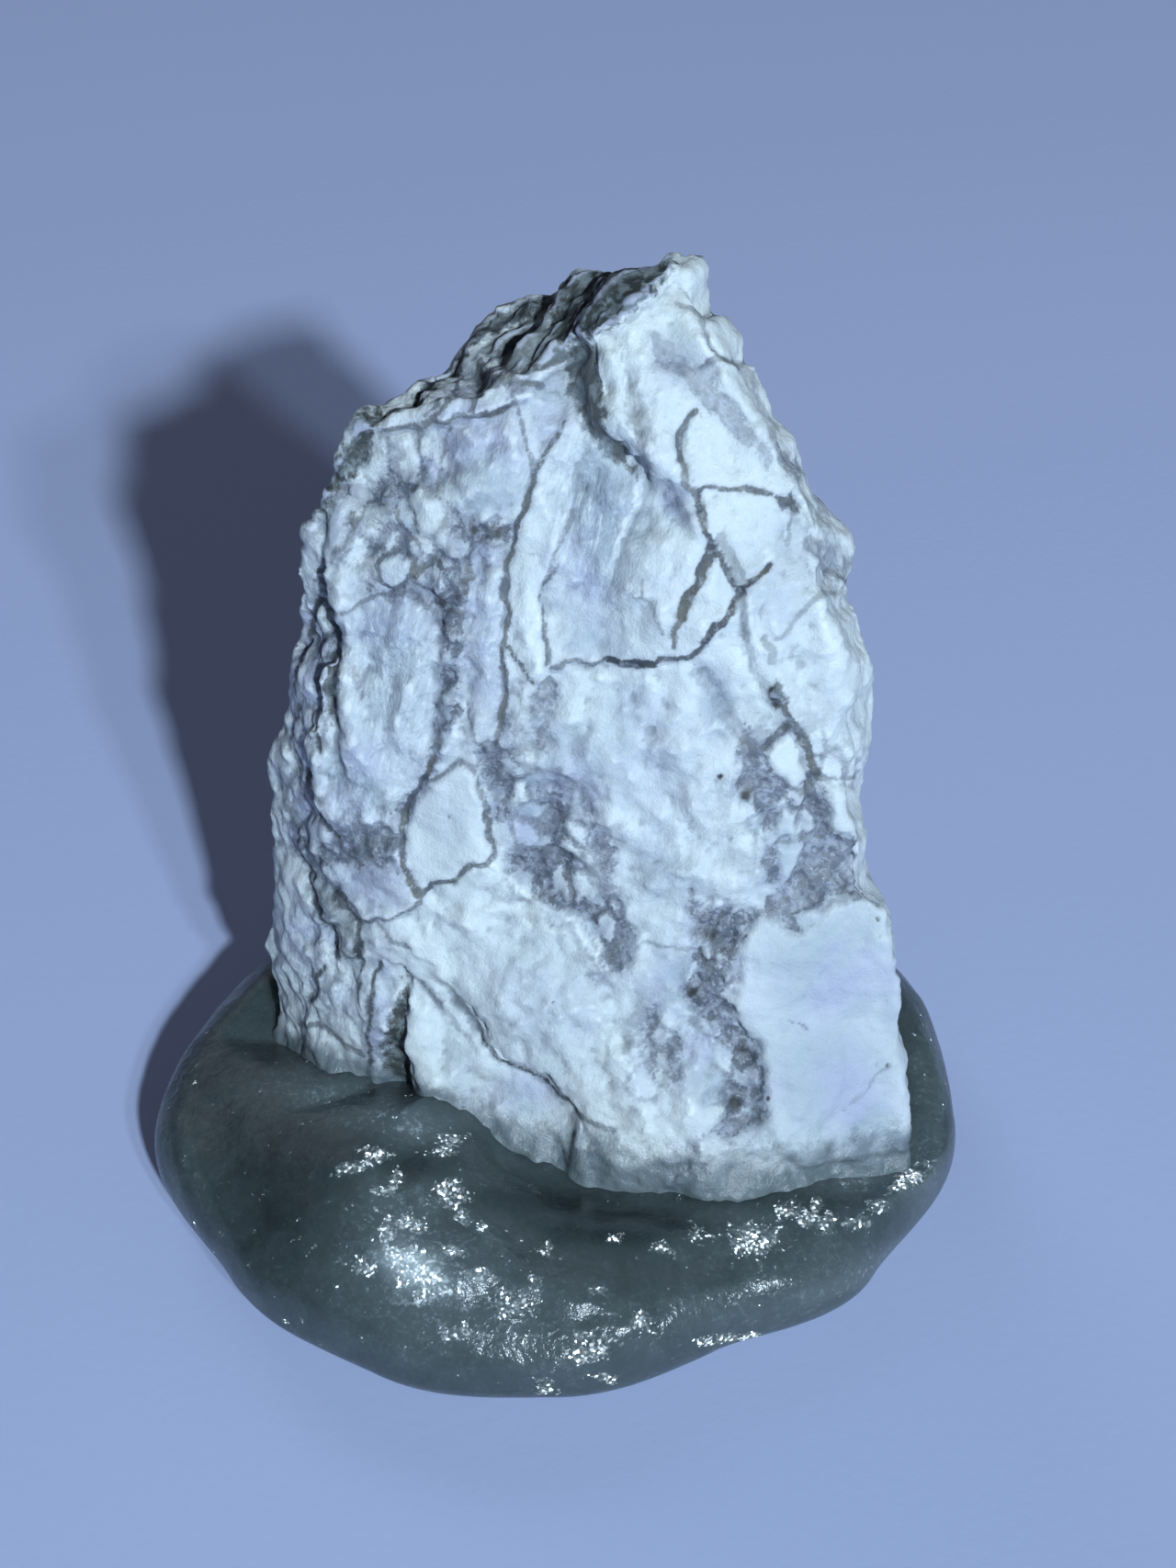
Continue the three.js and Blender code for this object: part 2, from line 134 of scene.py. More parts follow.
# Thin dark veins: width, strength, and the route in pixels.
VEINS = {
    "lintel_left": (0.25, 0.7, [(600, 728), (608, 723), (627, 721), (640, 727), (656, 722)]),
    "lintel": (0.55, 1.0, [(662, 719), (675, 722), (690, 724), (709, 723)]),
    "lintel_right": (0.3, 0.9, [(709, 723), (717, 717), (735, 717), (751, 713), (763, 706), (770, 698)]),
    "lintel_knee": (0.55, 1.0, [(769, 694), (774, 686), (786, 678)]),
    "lintel_rise": (0.35, 1.0, [(784, 679), (796, 661), (803, 648), (808, 637), (824, 623), (838, 611)]),
    "fork_left": (0.3, 0.9, [(758, 535), (761, 552), (765, 571), (772, 587), (785, 609), (797, 630),
        (806, 647)]),
    "fork_soft": (0.5, 0.4, [(784, 585), (793, 600), (801, 619), (807, 635)]),
    "fork_tail": (0.35, 0.35, [(805, 647), (808, 670), (811, 697)]),
    "fat_vein": (0.6, 0.95, [(776, 594), (770, 610), (762, 628), (750, 650), (741, 668)]),
    "fat_vein_foot": (0.35, 0.8, [(741, 668), (736, 684), (734, 703)]),
    "sprig": (0.15, 0.5, [(702, 629), (707, 652), (717, 673), (725, 692)]),
    "sprig_left": (0.15, 0.4, [(682, 639), (690, 650), (707, 652)]),
    "chin": (0.45, 0.8, [(755, 446), (747, 456), (740, 470), (738, 486), (739, 500)]),
    "chin_foot": (0.3, 0.7, [(739, 500), (743, 514), (750, 530), (758, 541)]),
    "brow": (0.25, 0.85, [(757, 536), (770, 532), (786, 531), (803, 532), (820, 534), (839, 538),
        (856, 545)]),
    "brow_knot": (0.55, 0.8, [(852, 545), (864, 547), (868, 556)]),
    "brow_drop": (0.3, 0.45, [(864, 556), (861, 570), (862, 582), (855, 596)]),
    "rim_high": (0.25, 0.4, [(876, 583), (889, 601), (899, 618), (908, 632)]),
    "rim_cross": (0.3, 0.6, [(905, 630), (915, 634), (927, 640)]),
    "right_arc": (0.3, 0.4, [(904, 644), (888, 648), (876, 660), (864, 675), (856, 688), (843, 694)]),
    "right_tick": (0.3, 0.4, [(831, 694), (839, 706), (841, 720)]),
    "right_tick_b": (0.2, 0.3, [(866, 702), (859, 722)]),
    "peak_edge": (0.25, 0.5, [(740, 331), (752, 340), (760, 356), (766, 367), (770, 378), (782, 390)]),
    "peak_cross": (0.3, 0.6, [(763, 402), (772, 394), (784, 391), (798, 401)]),
    "peak_line": (0.2, 0.4, [(798, 401), (808, 414), (818, 428), (830, 446), (846, 470)]),
    "left_beam": (0.25, 0.75, [(416, 468), (440, 467), (460, 464), (479, 459), (492, 455), (512, 453),
        (528, 450)]),
    "left_beam_end": (0.35, 0.9, [(524, 451), (538, 450), (552, 445), (561, 440)]),
    "ladder_top": (0.35, 0.7, [(522, 413), (540, 414), (558, 414), (575, 418), (592, 419)]),
    "ladder_mid": (0.25, 0.5, [(552, 406), (566, 405), (580, 402), (596, 400)]),
    "ladder_a": (0.3, 0.8, [(528, 402), (522, 414), (517, 428), (511, 446)]),
    "ladder_b": (0.25, 0.75, [(502, 408), (495, 424), (485, 440), (474, 452), (460, 464)]),
    "ladder_c": (0.2, 0.6, [(484, 426), (474, 440), (462, 452)]),
    "ladder_d": (0.3, 0.55, [(560, 418), (562, 432), (566, 452), (571, 474), (577, 494), (582, 514)]),
    "long_top": (0.25, 0.8, [(613, 460), (606, 474), (598, 492), (589, 505), (582, 515)]),
    "long_high": (0.35, 0.85, [(582, 515), (580, 530), (575, 545), (568, 556), (565, 572)]),
    "long_mid": (0.35, 0.8, [(565, 572), (558, 592), (554, 610), (549, 632), (548, 650), (552, 670)]),
    "long_low": (0.3, 0.75, [(552, 670), (551, 690), (548, 708), (547, 724), (551, 745), (548, 772),
        (541, 800)]),
    "long_foot": (0.25, 0.7, [(548, 772), (544, 795), (540, 812)]),
    "tick_a": (0.2, 0.8, [(554, 703), (560, 712), (568, 724), (580, 744)]),
    "face_line": (0.2, 0.75, [(591, 636), (590, 650), (590, 664), (593, 690), (597, 722)]),
    "face_branch": (0.2, 0.7, [(590, 642), (598, 630), (606, 618)]),
    "face_line_b": (0.15, 0.5, [(622, 556), (616, 572), (610, 590), (601, 612), (592, 634)]),
    "left_cell_a": (0.2, 0.55, [(487, 466), (483, 484), (479, 500), (476, 515), (477, 532)]),
    "left_cell_b": (0.2, 0.5, [(477, 541), (490, 552), (500, 564)]),
    "left_cell_c": (0.25, 0.6, [(452, 470), (452, 490), (455, 508), (461, 518), (452, 530), (443, 540)]),
    "left_cell_d": (0.2, 0.5, [(422, 475), (421, 492), (419, 512)]),
    "left_cell_e": (0.2, 0.5, [(397, 547), (389, 566), (382, 582), (372, 594), (363, 604)]),
    "left_cell_f": (0.2, 0.55, [(382, 557), (386, 572), (384, 588), (376, 604)]),
    "left_cell_g": (0.2, 0.6, [(424, 556), (429, 568), (438, 578), (448, 586), (458, 594), (462, 604)]),
    "ring": (0.35, 0.75, [(418, 603), (414, 616), (418, 630), (428, 638), (441, 636), (450, 626),
        (452, 612)]),
    "ring_top": (0.3, 0.6, [(418, 603), (427, 597), (440, 598), (452, 610)]),
    "pebble": (0.3, 0.7, [(452, 628), (460, 617), (474, 612), (486, 618)]),
    "pebble_low": (0.3, 0.6, [(452, 632), (464, 642), (480, 648), (490, 640)]),
    "left_arch": (0.25, 0.6, [(380, 662), (392, 655), (412, 648), (430, 644), (448, 646), (462, 656),
        (476, 672), (484, 688)]),
    "nick_a": (0.15, 0.5, [(387, 722), (391, 747), (402, 727)]),
    "nick_b": (0.15, 0.5, [(391, 747), (393, 760)]),
    "fall_right": (0.2, 0.55, [(508, 770), (517, 798), (527, 814)]),
    "island_left": (0.35, 0.85, [(471, 822), (468, 836), (462, 848), (450, 866), (442, 880),
        (438, 906)]),
    "island_foot": (0.3, 0.9, [(438, 906), (441, 940), (450, 958), (460, 974), (471, 962), (494, 958)]),
    "island_right": (0.3, 0.8, [(494, 958), (504, 950), (513, 939), (532, 938), (538, 926), (533, 905),
        (528, 882)]),
    "island_top": (0.2, 0.6, [(528, 882), (521, 858), (515, 838), (500, 828), (484, 840), (468, 850)]),
    "sweep": (0.2, 0.75, [(460, 978), (449, 990), (433, 996), (414, 1001), (396, 1006)]),
    "sweep_left": (0.3, 0.75, [(396, 1006), (386, 992), (374, 980), (361, 968)]),
    "sweep_b": (0.2, 0.6, [(413, 1007), (424, 1021), (434, 1025), (446, 1030)]),
    "left_edge_a": (0.25, 0.6, [(318, 836), (310, 864), (318, 888), (325, 902), (319, 919), (325, 939)]),
    "left_edge_b": (0.25, 0.6, [(332, 840), (338, 870), (353, 891), (366, 909), (373, 928)]),
    "foot_line": (0.25, 0.7, [(320, 1117), (345, 1115), (358, 1124), (375, 1136), (394, 1148)]),
    "foot_tick": (0.2, 0.6, [(349, 1052), (347, 1074), (335, 1090)]),
    "step_line": (0.2, 0.7, [(548, 1155), (566, 1162), (589, 1172), (606, 1187), (617, 1202),
        (627, 1217)]),
    "step_tail": (0.3, 0.6, [(627, 1217), (646, 1224), (668, 1230)]),
    "step_drop": (0.2, 0.3, [(619, 1212), (617, 1231), (615, 1238)]),
    "brown_edge": (0.3, 0.45, [(446, 1060), (458, 1074), (470, 1088), (480, 1100)]),
    "right_wedge": (0.45, 0.85, [(853, 768), (861, 784), (870, 797), (876, 808), (880, 822), (886, 836),
        (892, 848)]),
    "right_wedge_end": (0.2, 0.55, [(892, 848), (907, 849), (922, 845)]),
    "fan_top": (0.35, 0.8, [(861, 787), (850, 797), (840, 808), (830, 815)]),
    "fan_low": (0.3, 0.55, [(831, 825), (842, 840), (853, 853), (872, 866), (886, 861)]),
    "cross_a": (0.2, 0.5, [(841, 918), (856, 916), (873, 913)]),
    "seam_link": (0.2, 0.4, [(699, 1025), (727, 1029), (754, 1034)]),
    "block_nick": (0.15, 0.45, [(857, 1110), (868, 1112), (877, 1118)]),
    "block_crease": (0.15, 0.3, [(918, 1207), (935, 1190), (952, 1173), (968, 1158)]),
}

# Narrow grey seams of matrix between the white lumps: width, strength and route.
SEAMS = {
    "ring_seam": (0.5, 0.7, [(405, 600), (414, 584), (431, 578), (450, 596), (464, 612), (470, 640)]),
    "ring_low": (0.6, 0.75, [(405, 640), (424, 646), (447, 640), (470, 652)]),
    "main_low": (0.6, 0.8, [(477, 790), (478, 806), (470, 830), (462, 852)]),
    "left_belt_low": (0.5, 0.6, [(345, 935), (350, 955), (362, 968)]),
    "centre_left": (0.5, 0.65, [(546, 782), (552, 818), (559, 836), (551, 857), (544, 876)]),
    "centre_top": (0.8, 0.45, [(588, 782), (594, 800), (600, 822), (606, 846)]),
    "centre_fall": (0.7, 0.85, [(590, 866), (597, 895), (603, 923), (603, 946), (592, 972)]),
    "right_fall_foot": (0.6, 0.65, [(730, 1150), (733, 1160), (738, 1172)]),
    "rim_grey": (0.9, 0.4, [(884, 590), (900, 604), (916, 622), (926, 640)]),
    "shoulder_band": (0.9, 0.35, [(760, 734), (774, 752), (790, 775), (798, 800)]),
    "hip_band": (0.8, 0.3, [(722, 526), (734, 544), (748, 562)]),
    "slant_band": (0.6, 0.45, [(500, 1088), (516, 1104), (530, 1124), (542, 1144)]),
    "brown_band": (0.4, 0.5, [(452, 1070), (468, 1084), (480, 1098)]),
}

# Broad fields of matrix: strength and outline.
MATRIX = {
    "upper_left": (0.95, [(366, 532), (384, 530), (402, 536), (408, 518), (418, 512), (424, 520),
        (430, 530), (446, 518), (458, 512), (460, 520), (446, 534), (430, 546), (412, 552), (390, 550)]),
    "main": (1.0, [(497, 552), (508, 566), (524, 574), (545, 574), (560, 578), (548, 590), (530, 588),
        (516, 594), (512, 612), (513, 630), (508, 650), (508, 672), (503, 690), (500, 720), (498, 748),
        (501, 782), (490, 790), (479, 792), (474, 788), (477, 760), (480, 745), (485, 720), (485, 690),
        (478, 668), (470, 650), (482, 640), (488, 620), (490, 600), (494, 575)]),
    "left_belt": (0.9, [(460, 858), (452, 872), (444, 890), (440, 905), (436, 920), (424, 934),
        (404, 938), (386, 944), (366, 936), (352, 944), (344, 958), (334, 944), (336, 930), (322, 914),
        (330, 908), (344, 918), (362, 926), (384, 920), (398, 906), (410, 896), (424, 892), (436, 876),
        (448, 862)]),
    "island_right": (0.85, [(524, 812), (540, 806), (552, 814), (558, 832), (556, 852), (548, 868),
        (552, 884), (546, 900), (538, 890), (534, 872), (528, 850), (522, 832), (516, 820)]),
    "centre_neck": (0.7, [(596, 735), (604, 752), (600, 775), (592, 790), (598, 812), (604, 830),
        (594, 826), (584, 806), (578, 780), (576, 760), (584, 748)]),
    "centre_mid": (0.45, [(604, 830), (620, 850), (640, 872), (648, 900), (640, 912), (628, 896),
        (612, 886), (600, 860)]),
    "centre_pool": (0.95, [(548, 930), (566, 926), (588, 930), (600, 905), (604, 880), (600, 862),
        (608, 866), (610, 900), (614, 926), (624, 950), (622, 966), (632, 976), (640, 984), (660, 990),
        (676, 1000), (680, 1030), (664, 1024), (644, 1004), (622, 992), (604, 990), (592, 978),
        (570, 966), (556, 950)]),
    "right_fall": (0.75, [(640, 905), (656, 908), (668, 922), (668, 948), (676, 975), (680, 1000),
        (690, 1024), (690, 1044), (676, 1056), (660, 1050), (656, 1030), (662, 1000), (655, 975),
        (660, 950), (652, 930)]),
    "right_fall_low": (0.75, [(700, 1100), (710, 1094), (716, 1120), (728, 1134), (738, 1124),
        (740, 1150), (730, 1168), (718, 1160), (712, 1172), (702, 1150), (704, 1124)]),
    "east_high": (0.8, [(808, 790), (818, 800), (832, 812), (828, 824), (834, 838), (850, 852),
        (858, 862), (846, 872), (838, 886), (836, 915), (840, 940), (846, 958), (836, 962), (830, 940),
        (830, 905), (826, 880), (808, 872), (800, 862), (806, 846), (804, 825)]),
    "east_low": (0.85, [(884, 846), (892, 862), (898, 880), (902, 905), (920, 916), (940, 912),
        (944, 930), (926, 938), (938, 966), (950, 972), (930, 976), (905, 974), (888, 988), (862, 994),
        (868, 1014), (856, 1006), (850, 1000), (836, 998), (824, 994), (838, 978), (852, 966),
        (862, 956), (874, 940), (874, 905), (870, 880), (858, 868), (872, 862)]),
    "block_left": (1.0, [(756, 968), (764, 984), (772, 996), (790, 985), (800, 996), (824, 996),
        (810, 1012), (800, 1030), (792, 1050), (788, 1072), (794, 1090), (800, 1110), (806, 1128),
        (822, 1130), (824, 1150), (830, 1168), (828, 1195), (832, 1216), (812, 1210), (800, 1216),
        (786, 1222), (796, 1206), (802, 1190), (806, 1172), (798, 1150), (788, 1138), (776, 1120),
        (764, 1108), (750, 1094), (742, 1078), (746, 1070), (760, 1062), (756, 1040), (762, 1020),
        (764, 1004), (752, 985)]),
    "block_foot": (0.8, [(830, 1216), (818, 1226), (800, 1236), (784, 1240), (776, 1234), (792, 1224),
        (806, 1214)]),
    "foot_smudge": (0.5, [(764, 1240), (752, 1254), (744, 1270), (728, 1284), (722, 1300), (736, 1298),
        (752, 1284), (764, 1262)]),
    "peak_band": (0.5, [(708, 362), (720, 364), (736, 384), (752, 400), (764, 396), (776, 402),
        (776, 416), (790, 430), (806, 450), (824, 476), (836, 490), (846, 500), (836, 512), (826, 496),
        (806, 480), (786, 460), (768, 442), (752, 428), (738, 412), (722, 400), (712, 384)]),
    "rim": (0.65, [(846, 480), (858, 486), (868, 496), (882, 500), (884, 510), (872, 522), (860, 514),
        (852, 500)]),
    "rim_knot": (0.8, [(848, 544), (862, 540), (874, 546), (866, 558), (854, 556)]),
}

# Open cracks, with painted shade inside them: width, depth and route.
CRACKS = {
    "flank_slit": (0.3, 0.5, [(341, 791), (343, 804), (346, 818)]),
    "rim_a": (0.35, 0.4, [(340, 655), (334, 676), (329, 696), (326, 718)]),
    "rim_b": (0.25, 0.3, [(322, 768), (316, 788), (312, 806)]),
    "flank_low": (0.25, 0.4, [(331, 843), (340, 868), (352, 892), (368, 909)]),
    "lower_a": (0.3, 0.35, [(333, 945), (340, 976), (352, 1000), (362, 1022), (365, 1044)]),
    "lower_b": (0.4, 0.45, [(362, 972), (374, 990), (388, 1006), (390, 1026), (386, 1050)]),
    "lower_c": (0.2, 0.12, [(393, 1030), (390, 1050), (389, 1070), (394, 1090)]),
    "lower_d": (0.3, 0.2, [(411, 1048), (406, 1070), (403, 1100), (405, 1130), (402, 1160),
        (399, 1196)]),
    "lower_e": (0.2, 0.12, [(349, 1052), (347, 1074), (336, 1092)]),
    "slant": (0.2, 0.22, [(526, 1130), (540, 1150), (556, 1160), (590, 1173), (610, 1194), (622, 1214)]),
    "rim_top": (0.35, 0.4, [(500, 392), (486, 402), (470, 412), (446, 426)]),
}

# Open slots with slanting walls: depth and outline.
SLOTS = {
    "wedge": (0.45, [(439, 1064), (444, 1110), (448, 1150), (453, 1212), (428, 1210), (417, 1194),
        (420, 1150), (429, 1108)]),
    "flank": (0.45, [(352, 610), (358, 640), (364, 670), (368, 700), (366, 730), (364, 760), (366, 788),
        (358, 786), (352, 760), (350, 740), (356, 715), (352, 690), (346, 665), (342, 640), (346, 620)]),
    "rim_high": (0.4, [(596, 326), (574, 330), (556, 346), (530, 360), (508, 380), (492, 404),
        (470, 414), (446, 432), (420, 450), (404, 462), (396, 484), (384, 506), (366, 530), (352, 560),
        (348, 560), (360, 524), (376, 500), (388, 474), (398, 454), (426, 432), (460, 406), (484, 388),
        (500, 366), (526, 350), (552, 338), (572, 322)]),
}

# Ledges: the left of the route stands up and the right lies lower. Rise, fall, width of the slope
# between them and how far both run out, all in millimetres, and the route.
LEDGES = {
    "valley": (0.35, 0.25, 0.7, 1.4, [(690, 424), (696, 456), (701, 490), (705, 514)]),
    "hollow_rim": (0.35, 0.15, 1.1, 1.8, [(706, 508), (720, 524), (736, 546), (752, 568), (766, 586)]),
    "flake": (0.1, 0.35, 0.35, 1.2, [(670, 604), (674, 586), (682, 570), (692, 552), (697, 530)]),
    "slant": (0.28, 0.32, 0.8, 2.4, [(478, 1064), (500, 1088), (524, 1120), (546, 1154), (590, 1172),
        (618, 1208)]),
    "brown": (0.15, 0.35, 0.45, 1.4, [(440, 1060), (458, 1076), (476, 1092), (494, 1112)]),
    "wedge_face": (0.25, 0.05, 0.25, 1.6, [(440, 1076), (444, 1115), (448, 1160), (453, 1206)]),
    "flank": (0.35, 0.3, 0.5, 1.4, [(352, 560), (354, 610), (364, 660), (370, 720), (366, 780),
        (374, 830)]),
    "flank_upper": (0.1, 0.35, 0.4, 1.2, [(352, 556), (366, 530), (384, 506), (396, 480), (404, 460)]),
    "ladder": (0.25, 0.2, 0.35, 1.2, [(404, 470), (440, 468), (480, 460), (528, 452), (560, 440)]),
    "ladder_high": (0.25, 0.15, 0.4, 1.0, [(500, 400), (540, 414), (590, 416), (610, 400)]),
    "long": (0.14, 0.1, 0.35, 1.2, [(610, 462), (584, 514), (570, 556), (553, 612), (549, 660),
        (549, 720), (548, 780)]),
    "fin": (0.1, 0.18, 0.4, 1.2, [(594, 740), (590, 690), (590, 640), (604, 600), (616, 560),
        (624, 520)]),
    "lintel": (0.2, 0.1, 0.3, 1.2, [(598, 730), (627, 722), (656, 725), (709, 723), (751, 713),
        (772, 698)]),
    "east": (0.25, 0.2, 0.5, 1.4, [(806, 650), (812, 690), (824, 730), (846, 768), (862, 800),
        (884, 842)]),
    "main_left": (0.1, 0.3, 0.5, 1.0, [(500, 790), (506, 740), (508, 690), (516, 640), (516, 600)]),
    "main_right": (0.1, 0.3, 0.5, 1.0, [(484, 610), (476, 640), (484, 680), (482, 730), (474, 790)]),
    "pool": (0.1, 0.3, 0.4, 1.4, [(650, 1040), (624, 1000), (596, 984), (560, 966), (540, 936)]),
    "belly_foot": (0.25, 0.25, 0.6, 1.6, [(384, 1002), (416, 1000), (446, 992), (462, 974), (446, 950),
        (438, 916)]),
    "lower_left": (0.15, 0.2, 0.6, 1.4, [(336, 950), (352, 990), (366, 1030), (384, 1060), (398, 1110),
        (402, 1180)]),
    "crown": (0.3, 0.3, 0.6, 1.6, [(616, 380), (640, 366), (668, 358), (694, 342), (716, 318),
        (736, 292)]),
    "peak_gap": (0.3, 0.3, 0.35, 1.0, [(786, 340), (772, 346), (760, 344), (752, 330)]),
    "peak_gap_low": (0.3, 0.3, 0.35, 1.0, [(812, 402), (796, 398), (782, 390), (772, 380)]),
}

# Ridges, and grooves where the rise is below zero: rise, run on the left of the route and on the
# right of it, in millimetres, and the route.
RIDGES = {
    "scarp_rib": (0.3, 0.5, 0.4, [(660, 380), (668, 420), (676, 456), (688, 490)]),
    "scarp_rib_b": (0.3, 0.4, 0.4, [(668, 384), (678, 410), (684, 440)]),
    "lobe": (0.35, 1.2, 0.9, [(690, 370), (712, 410), (726, 450), (730, 500)]),
    "peak_rib": (0.3, 0.8, 0.8, [(742, 350), (760, 380), (780, 420)]),
    "white_fin": (0.12, 0.6, 0.3, [(556, 560), (566, 600), (572, 650), (576, 700), (590, 740)]),
    "flank_rib": (0.3, 0.5, 0.6, [(380, 590), (376, 640), (382, 690), (380, 740), (386, 800)]),
    "belly_groove": (-0.14, 0.7, 0.5, [(398, 700), (396, 740), (402, 780), (412, 820)]),
    "belly_groove_b": (-0.12, 0.4, 0.4, [(424, 690), (428, 740), (424, 790)]),
    "rim_fold": (-0.4, 0.4, 0.4, [(330, 700), (346, 690), (352, 672)]),
    "rim_rib": (0.35, 0.4, 0.5, [(334, 740), (334, 790), (346, 850), (360, 890)]),
    "foot_rib_c": (0.35, 0.7, 0.7, [(326, 1000), (330, 1040), (344, 1030), (362, 1044)]),
    "face_groove": (-0.25, 0.4, 0.5, [(478, 1110), (484, 1150), (482, 1200)]),
    "centre_fold": (-0.3, 0.7, 0.9, [(700, 900), (730, 908), (770, 918), (790, 930)]),
    "centre_fold_b": (-0.25, 0.6, 0.6, [(640, 760), (668, 756), (690, 768), (700, 800)]),
    "centre_fold_c": (-0.25, 0.5, 0.5, [(690, 760), (704, 780), (708, 800), (720, 770)]),
    "white_knob": (0.35, 1.0, 1.0, [(622, 780), (650, 784), (650, 796)]),
    "low_fold": (-0.3, 0.8, 1.0, [(560, 1010), (590, 1040), (630, 1060), (660, 1100)]),
    "low_fold_b": (-0.25, 0.6, 0.8, [(640, 1150), (660, 1130), (690, 1120)]),
    "low_rib": (0.3, 0.8, 0.8, [(650, 1110), (670, 1140), (690, 1180), (700, 1220)]),
    "shoulder_groove": (-0.4, 0.6, 0.7, [(762, 736), (776, 754), (788, 772), (798, 796)]),
    "east_rib": (0.3, 1.0, 1.2, [(850, 560), (830, 600), (828, 640)]),
    "east_rib_b": (0.35, 1.2, 1.2, [(900, 660), (910, 720), (905, 790)]),
    "east_notch": (-0.3, 0.6, 0.6, [(868, 720), (874, 740), (890, 760), (904, 778)]),
}

# Broad smooth bellies: rise, how far in from the outline they reach it, and the outline.
BELLIES = {
    "left": (0.4, 1.6, [(372, 640), (400, 645), (430, 648), (460, 660), (476, 690), (484, 720),
        (478, 760), (470, 800), (450, 850), (420, 890), (395, 900), (380, 860), (372, 800), (368, 720)]),
    "inner": (0.25, 1.0, [(515, 600), (545, 590), (548, 640), (546, 700), (546, 760), (535, 800),
        (515, 790), (502, 760), (504, 700), (508, 650)]),
    "face": (0.3, 1.4, [(700, 520), (730, 560), (768, 600), (760, 640), (736, 700), (700, 716),
        (660, 714), (650, 660), (664, 610), (690, 570)]),
    "foot": (0.45, 2.0, [(470, 990), (540, 960), (600, 1000), (660, 1050), (700, 1140), (700, 1230),
        (630, 1220), (600, 1160), (540, 1120), (500, 1070)]),
    "centre": (0.3, 1.6, [(640, 790), (700, 740), (760, 760), (800, 830), (800, 900), (780, 960),
        (700, 990), (680, 930), (640, 880)]),
    "east": (0.3, 1.4, [(776, 560), (840, 550), (860, 600), (840, 680), (810, 640), (785, 600)]),
    "east_low": (0.35, 1.4, [(880, 660), (930, 650), (940, 740), (930, 840), (895, 830), (870, 770)]),
    "beam": (0.25, 1.0, [(485, 470), (560, 450), (580, 500), (575, 550), (520, 560), (480, 530)]),
}

# Lumps of whiter stone that stand proud inside their outlines: rise and outline.
PADS = {
    "island": (0.3, [(440, 906), (443, 940), (460, 972), (494, 956), (513, 937), (536, 926), (528, 882),
        (515, 838), (500, 830), (466, 854), (446, 882)]),
    "block": (0.35, [(806, 1060), (800, 1092), (812, 1128), (826, 1132), (834, 1165), (834, 1215),
        (842, 1250), (870, 1272), (920, 1262), (1000, 1250), (985, 1100), (960, 985), (940, 972),
        (908, 981), (890, 1000), (870, 1015), (857, 1017), (845, 1000), (826, 998), (809, 1017)]),
    "nodule_a": (0.3, [(414, 612), (420, 634), (436, 638), (448, 626), (448, 608), (430, 600)]),
    "nodule_b": (0.25, [(455, 624), (460, 640), (474, 646), (484, 634), (482, 618), (468, 614)]),
    "nodule_c": (0.25, [(600, 976), (602, 990), (614, 994), (622, 984), (616, 974)]),
    "nodule_d": (0.3, [(830, 820), (858, 798), (866, 806), (874, 830), (884, 852), (868, 862),
        (850, 846)]),
    "nodule_e": (0.2, [(844, 894), (842, 912), (868, 910), (868, 886), (852, 882)]),
    "nodule_f": (0.25, [(842, 922), (846, 946), (856, 958), (868, 948), (872, 922)]),
    "nodule_g": (0.25, [(896, 854), (900, 880), (908, 904), (928, 910), (938, 890), (932, 858)]),
    "nodule_h": (0.2, [(876, 950), (878, 968), (898, 974), (906, 958), (896, 944)]),
    "nodule_i": (0.25, [(338, 912), (336, 894), (352, 888), (364, 902), (358, 918)]),
    "nodule_j": (0.2, [(540, 836), (546, 830), (554, 840), (550, 854), (541, 850)]),
    "nodule_k": (0.2, [(538, 872), (544, 868), (550, 880), (544, 892), (536, 886)]),
    "peak": (0.3, [(736, 300), (748, 280), (762, 284), (770, 310), (782, 334), (766, 344), (752, 330),
        (744, 312)]),
    "peak_b": (0.3, [(766, 352), (786, 348), (802, 364), (810, 392), (796, 400), (784, 388),
        (772, 370)]),
    "peak_c": (0.25, [(772, 406), (784, 400), (836, 468), (826, 476), (800, 446)]),
    "peak_d": (0.2, [(822, 418), (832, 414), (842, 450), (832, 444)]),
}

# Small stains: place in pixels, radius, and how dark.
STAINS = [
    ((842, 753), 0.55, 0.95), ((845, 766), 0.45, 0.9), ((354, 748), 0.5, 0.8), ((812, 866), 0.5, 0.8),
    ((783, 846), 0.22, 0.9), ((603, 1091), 0.18, 0.8), ((956, 1001), 0.24, 0.85),
    ((957, 1020), 0.26, 0.45), ((966, 1160), 0.2, 0.8), ((836, 1196), 0.22, 0.8),
    ((490, 890), 0.4, 0.45), ((478, 893), 0.3, 0.3), ((452, 628), 0.35, 0.7), ((481, 656), 0.45, 0.8),
    ((516, 577), 0.45, 0.7), ((541, 582), 0.45, 0.7), ((866, 552), 0.45, 0.6), ((498, 648), 0.5, 0.6),
    ((433, 950), 0.45, 0.5), ((496, 960), 0.4, 0.5), ((774, 1020), 0.7, 0.7), ((808, 1140), 0.6, 0.7),
    ((800, 1200), 0.6, 0.8), ((753, 1080), 0.5, 0.8),
]

